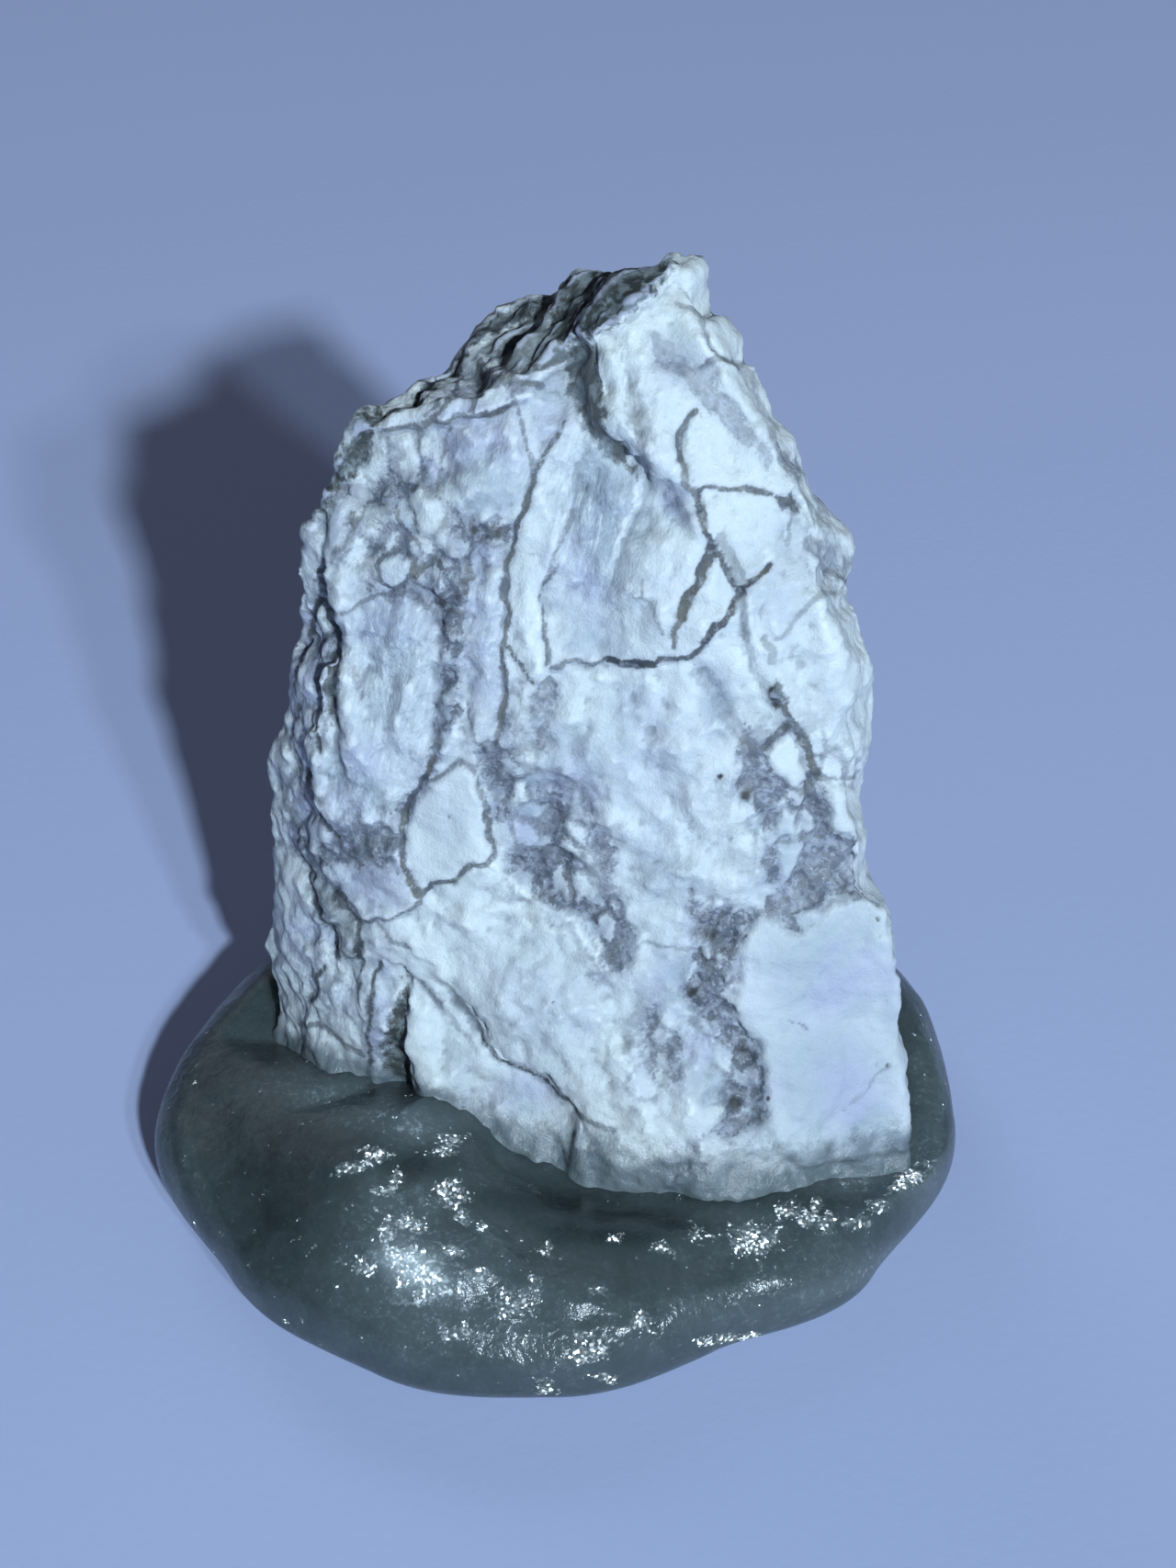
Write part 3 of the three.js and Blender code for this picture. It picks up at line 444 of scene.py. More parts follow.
# Where the stone was crushed and grew together again out of small pieces: place, reach across and
# up, and amount.
BRECCIAS = [
    ((600, 930), 3.6, 4.2, 1.0), ((560, 850), 2.0, 3.0, 0.9), ((660, 1010), 2.0, 3.2, 1.0),
    ((870, 870), 3.6, 4.6, 1.0), ((830, 820), 1.6, 2.4, 0.7), ((395, 915), 4.0, 2.2, 1.0),
    ((325, 860), 2.4, 6.0, 0.75), ((365, 1040), 3.4, 5.5, 0.5), ((440, 590), 4.6, 3.4, 0.9),
    ((520, 600), 2.0, 2.0, 0.9), ((490, 700), 1.2, 5.0, 0.8), ((780, 1060), 1.8, 4.6, 0.9),
    ((800, 1190), 1.6, 3.2, 0.9), ((700, 1150), 2.4, 3.6, 0.7), ((640, 1260), 4.0, 1.4, 0.7),
    ((745, 1275), 2.4, 1.4, 0.8), ((540, 410), 4.0, 1.6, 0.8), ((410, 500), 3.0, 2.4, 0.7),
    ((890, 560), 1.2, 3.0, 0.5), ((345, 720), 1.8, 5.5, 1.0), ((560, 780), 1.4, 2.4, 0.6),
    ((418, 1120), 1.3, 4.4, 0.5), ((372, 560), 2.2, 2.8, 0.9), ((450, 520), 3.4, 2.6, 0.7),
    ((900, 620), 1.6, 3.0, 0.5), ((600, 1255), 5.0, 1.4, 0.7),
]

# Soft patches of greyer, more see-through stone: place, reach across and up, and amount.
TINTS = [
    ((520, 490), 3.4, 3.6, 0.85), ((540, 530), 2.6, 2.2, 0.8), ((655, 560), 2.8, 4.6, 1.0),
    ((640, 630), 2.2, 3.2, 0.8), ((600, 450), 1.8, 3.2, 0.7), ((430, 735), 3.4, 7.6, 0.6),
    ((420, 680), 3.2, 2.4, 0.9), ((385, 850), 2.6, 5.0, 0.8), ((525, 700), 1.2, 5.0, 0.75),
    ((575, 900), 1.8, 3.2, 1.0), ((620, 850), 2.6, 3.6, 0.7), ((400, 960), 3.0, 2.4, 0.7),
    ((570, 1190), 2.6, 2.0, 0.9), ((600, 1120), 4.0, 3.0, 0.5), ((730, 1070), 2.2, 3.4, 0.8),
    ((770, 1150), 2.0, 4.0, 0.8), ((640, 690), 2.0, 2.4, 0.7), ((330, 720), 1.4, 4.0, 0.7),
    ((350, 1030), 3.0, 5.0, 0.45), ((416, 1120), 1.2, 4.4, 0.9), ((330, 860), 1.6, 6.0, 0.45),
    ((650, 1000), 1.6, 2.6, 0.6), ((735, 545), 1.1, 1.4, 0.95), ((850, 930), 1.6, 3.0, 0.7),
    ((565, 425), 2.2, 1.4, 0.8), ((690, 770), 2.4, 1.8, 0.6), ((900, 1060), 5.2, 5.6, 0.85),
    ((900, 1170), 5.2, 5.6, 0.9), ((940, 1215), 2.6, 3.0, 1.0), ((780, 770), 1.0, 2.2, 0.9),
    ((720, 950), 3.0, 3.0, 0.55), ((600, 1080), 4.0, 4.0, 0.5), ((500, 1150), 2.2, 3.6, 0.5),
    ((700, 830), 4.0, 4.0, 0.45), ((700, 640), 3.0, 3.0, 0.35), ((735, 395), 1.6, 1.4, 0.7),
    ((490, 900), 1.6, 2.4, 0.35), ((840, 640), 3.0, 3.0, 0.5), ((968, 1080), 1.2, 5.5, 0.7),
    ((860, 600), 2.4, 3.0, 0.5), ((910, 780), 1.6, 3.0, 0.3), ((360, 560), 1.6, 3.0, 0.7),
]

# Where the breakage is drawn out into feathers: place, reach across and up, and amount.
FEATHERS = [
    ((430, 730), 3.6, 6.5, 1.0), ((640, 560), 2.8, 5.2, 1.0), ((390, 880), 2.6, 4.0, 0.9),
    ((520, 490), 4.0, 3.4, 0.55), ((700, 620), 2.6, 4.0, 0.5), ((350, 1050), 2.6, 6.0, 0.9),
    ((460, 440), 3.6, 2.0, 0.9), ((680, 430), 2.4, 4.0, 0.6), ((330, 780), 1.4, 6.0, 0.9),
    ((540, 680), 2.4, 5.0, 0.7), ((740, 900), 4.0, 5.0, 0.35),
]

# Dark weathered skin on the top and along the upper left edge, there also standing as painted shade of
# slopes turned from the light; painted shade on the shaded slopes and in the hollows, such as the scarp,
# the valley, the flank, the slant and the wedge; and one dark stain on the right: how thick it lies, and
# the outline.
SKINS_AND_SHADE = {
    "top": (1.0, [(598, 318), (640, 292), (690, 284), (728, 279), (740, 283), (726, 303), (706, 326),
        (690, 345), (664, 360), (640, 367), (618, 382), (604, 372), (590, 366), (600, 340)]),
    "ladder": (0.8, [(596, 322), (600, 352), (618, 382), (606, 404), (572, 404), (540, 404), (524, 392),
        (536, 372), (560, 352)]),
    "upper_left": (1.0, [(602, 315), (574, 319), (556, 332), (530, 346), (512, 358), (490, 385),
        (468, 400), (438, 424), (412, 440), (386, 458), (374, 484), (358, 506), (340, 528), (336, 566),
        (352, 566), (374, 526), (392, 504), (404, 480), (412, 460), (450, 438), (484, 414), (502, 404),
        (520, 380), (548, 362), (570, 346), (592, 338), (606, 332)]),
    "flank": (0.85, [(344, 610), (356, 606), (364, 640), (368, 690), (368, 740), (367, 790), (360, 792),
        (350, 760), (348, 730), (352, 700), (346, 670), (340, 640)]),
    "scarp": (0.9, [(608, 376), (640, 370), (648, 400), (656, 432), (664, 470), (684, 506), (697, 522),
        (676, 514), (655, 492), (632, 458), (618, 430), (610, 400)]),
    "scarp_rib": (0.25, [(648, 372), (664, 380), (672, 420), (668, 452), (660, 440), (654, 404)]),
    "valley": (0.35, [(682, 410), (698, 430), (708, 456), (710, 490), (714, 512), (702, 518), (694, 500),
        (688, 470), (682, 450)]),
    "flake": (0.3, [(697, 545), (694, 570), (684, 580), (678, 590), (676, 575), (688, 556)]),
    "chin": (0.45, [(752, 444), (758, 450), (750, 468), (746, 500), (752, 530), (744, 520), (738, 496),
        (736, 474)]),
    "lower_left": (0.6, [(330, 940), (346, 944), (362, 972), (384, 1000), (392, 1026), (388, 1054),
        (380, 1050), (366, 1046), (356, 1016), (344, 990), (334, 966)]),
    "wedge": (1.0, [(439, 1060), (444, 1110), (449, 1150), (455, 1206), (424, 1208), (413, 1192),
        (416, 1150), (426, 1104)]),
    "wedge_left": (0.45, [(412, 1050), (408, 1080), (406, 1120), (408, 1160), (402, 1200), (396, 1196),
        (400, 1150), (398, 1110), (402, 1070)]),
    "slant": (0.4, [(496, 1080), (514, 1092), (532, 1110), (546, 1130), (548, 1146), (534, 1136),
        (518, 1114), (502, 1096)]),
    "right_wedge": (0.9, [(838, 752), (842, 738), (850, 744), (852, 758), (846, 770), (838, 768)]),
}

# Where the putty's body meets the front of the stone, and how high its smeared film climbs there.
PUTTY_LINE = [
    (300, 1134), (340, 1155), (380, 1172), (420, 1183), (466, 1200), (490, 1213), (525, 1236),
    (560, 1258), (617, 1280), (675, 1297), (767, 1306), (828, 1302), (880, 1298), (940, 1290),
    (985, 1276),
]
FILM_LINE = [
    (290, 1106), (340, 1130), (400, 1152), (440, 1168), (500, 1190), (560, 1212), (640, 1228),
    (700, 1240), (780, 1246), (850, 1240), (920, 1230), (990, 1210),
]

# How far the film hides the stone, from left to right: pixels across and share.
FILM_FILL = [
    (290, 0.9), (430, 0.88), (490, 0.9), (700, 0.88), (790, 0.9), (850, 0.92), (990, 0.95),
]
# How high the putty stands against the stone on the hidden sides.
HIDDEN_LINE = 8.6
# The middle of the putty's front, in the frame's millimetres.
PUTTY_FRONT = Vector((-2.0, -14.0, 8.0))
# How near the stone the putty is pressed all the way up, and how far out it falls off from there.
PRESSED_NEAR = 1.3
PRESSED_REACH = 1.9

# Clusters where the putty's wet skin is crumpled and glints: place in pixels, reach across and up.
GLINTS = [
    ((376, 1271), 0.6, 0.5), ((396, 1268), 0.9, 0.5), ((412, 1258), 0.9, 0.5), ((418, 1296), 0.7, 0.3),
    ((433, 1284), 0.3, 0.5), ((492, 1240), 0.9, 0.4), ((484, 1254), 0.9, 0.4), ((487, 1292), 0.9, 0.5),
    ((492, 1304), 1.1, 0.5), ((503, 1320), 0.5, 0.5), ((524, 1336), 0.4, 0.3), ((422, 1340), 0.5, 0.9),
    ((450, 1332), 0.9, 0.4), ((440, 1366), 1.1, 0.6), ((462, 1392), 1.1, 0.6), ((446, 1372), 1.2, 0.7),
    ((456, 1382), 0.8, 0.7), ((474, 1396), 0.7, 0.5), ((484, 1404), 0.9, 0.5), ((462, 1414), 0.5, 0.4),
    ((398, 1380), 0.8, 0.5), ((518, 1388), 0.8, 0.4), ((582, 1398), 0.4, 0.7), ((492, 1362), 0.6, 0.3),
    ((594, 1510), 0.7, 0.4), ((636, 1476), 1.2, 0.5), ((652, 1468), 0.6, 0.6), ((634, 1456), 0.4, 0.6),
    ((664, 1456), 0.8, 0.4), ((660, 1500), 0.9, 0.3), ((766, 1460), 0.8, 0.25), ((790, 1457), 1.2, 0.25),
    ((814, 1455), 1.0, 0.25), ((741, 1282), 0.4, 0.4), ((760, 1278), 0.5, 0.4), ((782, 1284), 0.8, 0.6),
    ((800, 1282), 0.8, 0.8), ((853, 1318), 0.5, 0.7), ((878, 1324), 0.7, 0.6), ((888, 1312), 0.4, 0.5),
    ((900, 1328), 0.6, 0.4), ((934, 1330), 0.8, 0.3), ((956, 1313), 0.7, 0.4), ((980, 1291), 0.5, 0.4),
    ((992, 1280), 0.8, 0.5), ((722, 1358), 0.7, 0.3), ((758, 1344), 0.6, 0.4), ((670, 1348), 0.5, 0.3),
    ((820, 1350), 1.4, 1.0), ((700, 1440), 0.6, 0.6), ((560, 1420), 1.2, 0.8), ((500, 1450), 1.0, 0.4),
    ((595, 1360), 0.4, 0.5), ((648, 1404), 0.5, 0.3),
]

# Where the putty is paler, partly clouded by handling and partly painted sheen about the glint clusters;
# where the amount is below zero it is clearer and darker, mostly painted shade in the trough under the
# stone: place, reach across and up, and amount.
HAZE_SHEEN_AND_SHADE = [
    ((450, 1350), 4.4, 3.0, 1.3), ((470, 1440), 5.0, 2.4, 0.6), ((600, 1440), 4.6, 3.0, 0.55),
    ((820, 1340), 4.4, 1.8, 0.6), ((960, 1290), 3.0, 1.6, 0.6), ((780, 1420), 6.0, 2.6, 0.45),
    ((930, 1380), 4.0, 1.8, 0.5), ((450, 1226), 2.4, 0.8, 0.7), ((930, 1262), 3.6, 1.0, 0.9),
    ((1010, 1230), 1.2, 4.0, 0.45), ((1000, 1150), 1.4, 3.0, 0.3), ((240, 1260), 2.6, 4.0, 0.15),
    ((560, 1306), 4.6, 0.9, -0.8), ((690, 1338), 5.0, 0.9, -0.8), ((460, 1270), 2.6, 0.8, -0.7),
    ((930, 1282), 3.4, 0.9, 0.7), ((360, 1200), 3.0, 1.0, 0.35), ((430, 1310), 2.4, 1.4, 0.5),
    ((470, 1400), 3.4, 1.6, 0.9), ((440, 1372), 2.0, 1.5, 0.8), ((330, 1184), 2.4, 1.2, 0.6),
    ((400, 1208), 2.6, 1.0, 0.9), ((450, 1226), 2.0, 0.9, 0.5), ((820, 1306), 3.6, 0.6, -0.5),
    ((300, 1300), 3.6, 4.0, -0.35), ((470, 1340), 1.4, 0.9, -0.6),
]

# Thin pale lines near the putty's rim, partly where it was folded on itself and partly painted light
# where the thin rim lets light through: width, strength and route.
RIM_LINES = {
    "left": (0.35, 0.6, [(178, 1204), (181, 1256), (196, 1310), (216, 1350), (230, 1372)]),
    "left_inner": (0.6, 0.35, [(196, 1216), (206, 1262), (222, 1306), (244, 1350), (258, 1388),
        (280, 1420)]),
    "right": (0.3, 0.6, [(1006, 1120), (1020, 1160), (1024, 1200), (1020, 1250), (1010, 1290)]),
    "right_inner": (0.7, 0.3, [(996, 1150), (1006, 1200), (1004, 1250), (992, 1290)]),
    "front": (0.8, 0.5, [(880, 1412), (920, 1396), (960, 1374), (990, 1350)]),
}

# Folds in the putty: rise, run towards the eye, run away from it, and route from left to right.
FOLDS = {
    "upper": (0.35, 0.5, 1.4, [(362, 1278), (396, 1270), (424, 1256), (450, 1240)]),
    "mound_left": (0.4, 0.5, 0.9, [(404, 1300), (430, 1294), (452, 1292)]),
    "mound_top": (0.6, 0.6, 1.4, [(462, 1300), (488, 1302), (508, 1320), (530, 1344)]),
    "mound_front": (0.5, 0.6, 1.6, [(404, 1366), (430, 1376), (456, 1384), (484, 1402), (520, 1394)]),
    "trough": (-0.9, 1.8, 1.6, [(440, 1290), (500, 1316), (560, 1334), (640, 1356), (720, 1364),
        (800, 1350), (850, 1330)]),
    "lift": (0.6, 1.4, 2.2, [(420, 1202), (462, 1220), (510, 1246)]),
    "right": (0.45, 0.6, 1.2, [(780, 1350), (830, 1338), (856, 1322), (900, 1332), (940, 1332),
        (990, 1296)]),
    "low": (0.4, 0.6, 1.4, [(560, 1400), (584, 1402), (630, 1420)]),
    "rim_low": (0.35, 0.5, 1.2, [(580, 1506), (630, 1484), (664, 1462), (700, 1446)]),
    "left_groove": (-0.3, 1.4, 1.4, [(232, 1214), (242, 1262), (264, 1312), (290, 1360)]),
}

# The putty: the same lump as the solid it stands for, in the solid's own millimetres.
PUTTY_SHIFT = Vector((2.0, 4.546, 0.0))
PUTTY_MIDDLE = (-1.8, -6.2)
PUTTY_OUTLINE = [24.2, 25.4, 24.6, 21.8, 23.2, 23.8, 24.6, 21.9, 20.3, 19.1, 18.3, 21.3]
PUTTY_HEIGHT = 9.2
PUTTY_GIRTH = 3.4
PUTTY_FLATNESS = 2.5
PUTTY_LUMPS = [
    ((-11, -17), 1.3, 7), ((8, -19), 0.5, 6), ((-3, -13.5), -1.3, 4.5), ((9, -15.5), -0.9, 4),
    ((-22, -4), -0.9, 6), ((19, -2), 0.5, 5), ((-14, 11), -0.8, 6), ((6, 13), 0.7, 6),
]


def colour(code):
    """A linear colour from its sRGB hex code."""
    levels = [int(code[i:i + 2], 16) / 255 for i in (0, 2, 4)]
    return [c / 12.92 if c <= 0.04045 else ((c + 0.055) / 1.055) ** 2.4 for c in levels]


def opaque(rgb):
    return (rgb[0], rgb[1], rgb[2], 1.0)


def tone(code):
    """A colour for a shader's socket from its sRGB hex code."""
    return opaque(colour(code))


class HowliteStoneLook(bpy.types.PropertyGroup):
    grain: bpy.props.FloatProperty(
        name="Mesh grain", description="Spacing of the stone's mesh on its hidden sides",
        default=0.41 * MM, min=0.2 * MM, unit="LENGTH")
    chip: bpy.props.FloatProperty(
        name="Chip height", description="How far the broad broken faces rise and fall",
        default=0.42 * MM, unit="LENGTH")
    feather: bpy.props.FloatProperty(
        name="Feather height", description="How far the drawn-out breakage rises and falls",
        default=0.20 * MM, unit="LENGTH")
    seam_depth: bpy.props.FloatProperty(
        name="Seam depth", description="How far the softer grey matrix lies below the white stone",
        default=0.20 * MM, unit="LENGTH")
    vein_depth: bpy.props.FloatProperty(
        name="Vein depth", description="How deep the veins are cut in by weather",
        default=0.05 * MM, unit="LENGTH")
    white: bpy.props.FloatVectorProperty(
        name="White", description="Fresh broken howlite", subtype="COLOR", size=3,
        default=colour("D0D8D8"))
    grey: bpy.props.FloatVectorProperty(
        name="Grey", description="See-through grey howlite", subtype="COLOR", size=3,
        default=colour("A2A9BF"))
    vein: bpy.props.FloatVectorProperty(
        name="Vein", description="Dark veins", subtype="COLOR", size=3,
        default=colour("3D434B"))
    matrix: bpy.props.FloatVectorProperty(
        name="Matrix", description="Mottled matrix in the seams", subtype="COLOR", size=3,
        default=colour("929AA6"))
    # The skin colour is also painted on slopes turned from the light as their shade.
    skin: bpy.props.FloatVectorProperty(
        name="Skin", description="Dark weathered skin", subtype="COLOR", size=3,
        default=colour("353B3A"))


class HowlitePuttyLook(bpy.types.PropertyGroup):
    ripple: bpy.props.FloatProperty(
        name="Ripple", description="Height of the finger marks in the putty",
        default=0.20 * MM, unit="LENGTH")
    crumple: bpy.props.FloatProperty(
        name="Crumple", description="Size of the little faces of the crumpled skin",
        default=0.15 * MM, unit="LENGTH")
    tone: bpy.props.FloatVectorProperty(
        name="Tone", description="Clear grey-green putty", subtype="COLOR", size=3,
        default=colour("435355"))
    # The haze colour is also the painted sheen about the glint clusters.
    haze: bpy.props.FloatVectorProperty(
        name="Haze", description="Putty clouded by handling", subtype="COLOR", size=3,
        default=colour("869598"))


class HowliteStageLook(bpy.types.PropertyGroup):
    floor: bpy.props.FloatVectorProperty(
        name="Floor", description="Pale periwinkle card", subtype="COLOR", size=3,
        default=colour("B4C0E4"))
    key_power: bpy.props.FloatProperty(
        name="Key light", description="Power of the main light", default=12.5, unit="POWER")


def linked(obj):
    bpy.context.scene.collection.objects.link(obj)
    return obj


def add(tree, kind, inputs=None, **settings):
    """Adds a node: settings are its options, and inputs are values or other nodes' sockets."""
    node = tree.nodes.new(kind)
    for name, value in settings.items():
        setattr(node, name, value)
    for name, value in (inputs or {}).items():
        if isinstance(value, bpy.types.NodeSocket):
            tree.links.new(value, node.inputs[name])
        else:
            node.inputs[name].default_value = value
    return node


def blend(tree, share, first, second, mode="MIX"):
    """Mixes two colours and gives the result's socket."""
    node = add(tree, "ShaderNodeMix", data_type="RGBA", blend_type=mode, clamp_factor=True,
               inputs={0: share, 6: first, 7: second})
    return node.outputs[2]


def maths(tree, operation, first, second=0.0, third=0.0):
    node = add(tree, "ShaderNodeMath", operation=operation, inputs={0: first, 1: second, 2: third})
    return node.outputs[0]


def times(tree, first, second):
    return maths(tree, "MULTIPLY", first, second)


def plus(tree, start, amount, factor):
    """A start value with an amount times a factor on top of it."""
    return maths(tree, "MULTIPLY_ADD", amount, factor, start)


def centred(tree, value):
    """A value from 0 to 1 moved to lie about zero."""
    return maths(tree, "SUBTRACT", value, 0.5)


def vectors(tree, operation, first, second=(0.0, 0.0, 0.0)):
    node = add(tree, "ShaderNodeVectorMath", operation=operation, inputs={0: first, 1: second})
    return node.outputs[0]


def scaled(tree, vector, factor):
    node = add(tree, "ShaderNodeVectorMath", operation="SCALE", inputs={0: vector, "Scale": factor})
    return node.outputs[0]


def ramp(tree, value, low, high, bottom=0.0, top=1.0):
    """Turns a value from low to high into bottom to top, eased at both ends."""
    node = add(tree, "ShaderNodeMapRange", interpolation_type="SMOOTHSTEP", inputs={
        "Value": value, "From Min": low, "From Max": high, "To Min": bottom, "To Max": top})
    return node.outputs["Result"]


def mottle(tree, place, size, detail=3.0, rough=0.55, warp=0.0):
    """Noise whose grain is a size in millimetres, from 0 to 1."""
    node = add(tree, "ShaderNodeTexNoise", inputs={
        "Vector": place, "Scale": 1 / (size * MM), "Detail": detail, "Roughness": rough,
        "Distortion": warp})
    return node.outputs["Fac"]


def measured(tree, name):
    """A value kept on the mesh under a name."""
    return add(tree, "ShaderNodeAttribute", attribute_name=name).outputs["Fac"]


def bumped(tree, height, depth, strength=1.0):
    """The surface's normal over a fine relief whose depth is in millimetres."""
    node = add(tree, "ShaderNodeBump", inputs={
        "Strength": strength, "Distance": depth * MM, "Height": height})
    return node.outputs["Normal"]


def new_material(name):
    material = bpy.data.materials.new(name)
    material.use_nodes = True
    material.node_tree.nodes.clear()
    return material, material.node_tree


def sighted(points):
    """Where points are seen, in millimetres right and up of the aim."""
    away = points - np.array(EYE)
    depth = -(away @ np.array(SIGHT_BACK))
    right = away @ np.array(SIGHT_RIGHT) * EYE_DISTANCE / depth
    up = away @ np.array(SIGHT_UP) * EYE_DISTANCE / depth
    return np.stack([right, up], axis=1)


def on_sight(route):
    """A route in pixels as millimetres right and up of the aim."""
    place = np.array(route, float) - np.array(PICTURE_MIDDLE)
    return place * np.array([PIXEL, -PIXEL])


def along_route(seen, route, reach):
    """For the points within reach of a route: their numbers, their distances, and how far they lie
    to its left, below zero on its right."""
    line = on_sight(route)
    low = line.min(0) - reach
    high = line.max(0) + reach
    near = np.nonzero(((seen > low) & (seen < high)).all(1))[0]
    best = np.full(len(near), np.inf)
    left = np.zeros(len(near))
    for start, end in zip(line[:-1], line[1:]):
        way = end - start
        gap = seen[near] - start
        share = np.clip(gap @ way / (way @ way), 0, 1)
        distance = np.linalg.norm(gap - share[:, None] * way, axis=1)
        closer = distance < best
        best[closer] = distance[closer]
        left[closer] = (way[0] * gap[closer, 1] - way[1] * gap[closer, 0]) / np.linalg.norm(way)
    return near, best, left


def inside_depth(seen, outline):
    """How deep each point lies inside an outline, in millimetres, and below zero outside it."""
    closed = [*outline, outline[0]]
    near, gap, _ = along_route(seen, closed, 1.5)
    line = on_sight(outline)
    x, y = seen[near].T
    crossings = np.zeros(len(near), bool)
    for (x0, y0), (x1, y1) in zip(line, np.roll(line, -1, axis=0)):
        spans = (y0 > y) != (y1 > y)
        crossings ^= spans & (x < (x1 - x0) * (y - y0) / (y1 - y0 + 1e-12) + x0)
    return near, np.where(crossings, gap, -gap)


def eased(value, low, high):
    share = np.clip((value - low) / (high - low), 0, 1)
    return share * share * (3 - 2 * share)


def patch(seen, place, across, up):
    """A soft round patch about a place in pixels: 1 at its middle, fading out past its reach."""
    away = (seen - on_sight([place])[0]) / np.array([across, up])
    return np.exp(-(away ** 2).sum(1))


def patches(seen, marks):
    """Soft round patches, each with its reach across and up, the strongest of them everywhere."""
    amount = np.zeros(len(seen))
    for place, across, up, power in marks:
        amount = np.maximum(amount, power * patch(seen, place, across, up))
    return amount


def gaps_to(seen, strokes):
    """Distance outside the nearest stroke's edge, and that stroke's strength, for every point."""
    gap = np.full(len(seen), 2.0)
    strength = np.zeros(len(seen))
    for width, power, route in strokes.values():
        near, distance, _ = along_route(seen, route, 2.0)
        outside = distance - width / 2
        closer = outside < gap[near]
        gap[near[closer]] = outside[closer]
        strength[near[closer]] = power
    return gap, strength


def fields(seen, shapes, gap, strength):
    """Adds outlined fields, each with its strength, to the distances and strengths of strokes."""
    for power, outline in shapes.values():
        near, depth = inside_depth(seen, outline)
        closer = -depth < gap[near]
        gap[near[closer]] = -depth[closer]
        strength[near[closer]] = power
    return gap, strength


def merged_copy(node, name):
    """A new object with a CAD node's surface, its loose triangles joined."""
    mesh = bpy.data.meshes.new(name)
    sculpt = bmesh.new()
    sculpt.from_mesh(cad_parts[node].data)
    bmesh.ops.remove_doubles(sculpt, verts=sculpt.verts, dist=0.001 * MM)
    sculpt.to_mesh(mesh)
    sculpt.free()
    return linked(bpy.data.objects.new(name, mesh))


def remeshed(obj, grain):
    """Replaces an object's mesh by an even one of small squares."""
    remesh = obj.modifiers.new("even", "REMESH")
    remesh.mode = "VOXEL"
    remesh.voxel_size = grain
    even = bpy.data.meshes.new_from_object(obj.evaluated_get(bpy.context.evaluated_depsgraph_get()))
    obj.modifiers.clear()
    obj.data = even


def read_points(mesh):
    """A mesh's points and their normals, in millimetres."""
    points = np.zeros(len(mesh.vertices) * 3)
    mesh.vertices.foreach_get("co", points)
    normals = np.zeros(len(mesh.vertices) * 3)
    mesh.vertices.foreach_get("normal", normals)
    return points.reshape(-1, 3) / MM, normals.reshape(-1, 3)


def write_points(mesh, points):
    mesh.vertices.foreach_set("co", (points * MM).astype(np.float32).ravel())
    mesh.update()


def keep(mesh, name, values):
    attribute = mesh.attributes.new(name, "FLOAT", "POINT")
    attribute.data.foreach_set("value", values.astype(np.float32))


def facing(points, normals):
    """How squarely each point faces the eye: 1 straight at it, and below zero away from it."""
    towards = np.array(EYE) - points
    towards /= np.linalg.norm(towards, axis=1)[:, None]
    return (normals * towards).sum(1)


def refine(obj, chosen):
    """Halves the edges between the points for which chosen holds."""
    sculpt = bmesh.new()
    sculpt.from_mesh(obj.data)
    sculpt.verts.ensure_lookup_table()
    edges = [e for e in sculpt.edges if chosen[e.verts[0].index] and chosen[e.verts[1].index]]
    bmesh.ops.subdivide_edges(sculpt, edges=edges, cuts=1, use_grid_fill=True)
    sculpt.to_mesh(obj.data)
    sculpt.free()


def soften(obj, rounds, factor=0.5, chosen=None):
    """Smooths the whole mesh, or only the points for which chosen holds."""
    sculpt = bmesh.new()
    sculpt.from_mesh(obj.data)
    verts = [v for v in sculpt.verts if chosen is None or chosen[v.index]]
    for _ in range(rounds):
        bmesh.ops.smooth_vert(sculpt, verts=verts, factor=factor,
                              use_axis_x=True, use_axis_y=True, use_axis_z=True)
    sculpt.to_mesh(obj.data)
    sculpt.free()


def ease_steps(obj):
    """Turns the solid's sheer steps into slopes, where they are seen."""
    points, normals = read_points(obj.data)
    seen = sighted(points)
    chosen = np.zeros(len(points), bool)
    for reach, route in STEPS.values():
        near, distance, _ = along_route(seen, route, reach)
        chosen[near] |= (distance < reach) & (facing(points[near], normals[near]) > -0.4)
    soften(obj, 30, 0.5, chosen)


def nudge(obj):
    """Pulls the outline in or out as seen from the eye, brings the foot forward, moves the scarp."""
    points, _ = read_points(obj.data)
    seen = sighted(points)
    moved = points.copy()
    for place, reach, (right, up) in NUDGES:
        share = patch(seen, place, reach, reach)
        moved += share[:, None] * np.array(SIGHT_RIGHT * right + SIGHT_UP * up)
    for place, across, up, forward in BULGES:
        moved += forward * patch(seen, place, across, up)[:, None] * np.array(SIGHT_BACK)
    near, distance, _ = along_route(seen, STEPS["scarp"][1], 6.0)
    share = SCARP_SHIFT * np.exp(-((distance / SCARP_REACH) ** 2))
    moved[near] += share[:, None] * np.array(SIGHT_RIGHT)
    write_points(obj.data, moved)


def swell(points, size, seed):
    """Smooth noise from about -1 to 1 at each point, its grain a size in millimetres."""
    shift = Vector((seed, 2.7 * seed, 5.1 * seed))
    return np.array([noise.noise(Vector(p) / size + shift) for p in points])


def wandering(points, size, reach, seed):
    """A smooth sideways shift for each point, its grain and its reach in millimetres."""
    return reach * np.stack([swell(points, size, seed + 0.31 * k) for k in range(3)], axis=1)


def corner_heights(corners, seed):
    """A repeatable height from -1 to 1 for each whole-numbered corner of a lattice."""
    distinct, places = np.unique(corners.astype(int), axis=0, return_inverse=True)
    middle = Vector((seed + 0.5, 0.5, 0.5))
    heights = np.array([noise.cell(Vector(corner) + middle) for corner in distinct])
    return heights[places.ravel()]


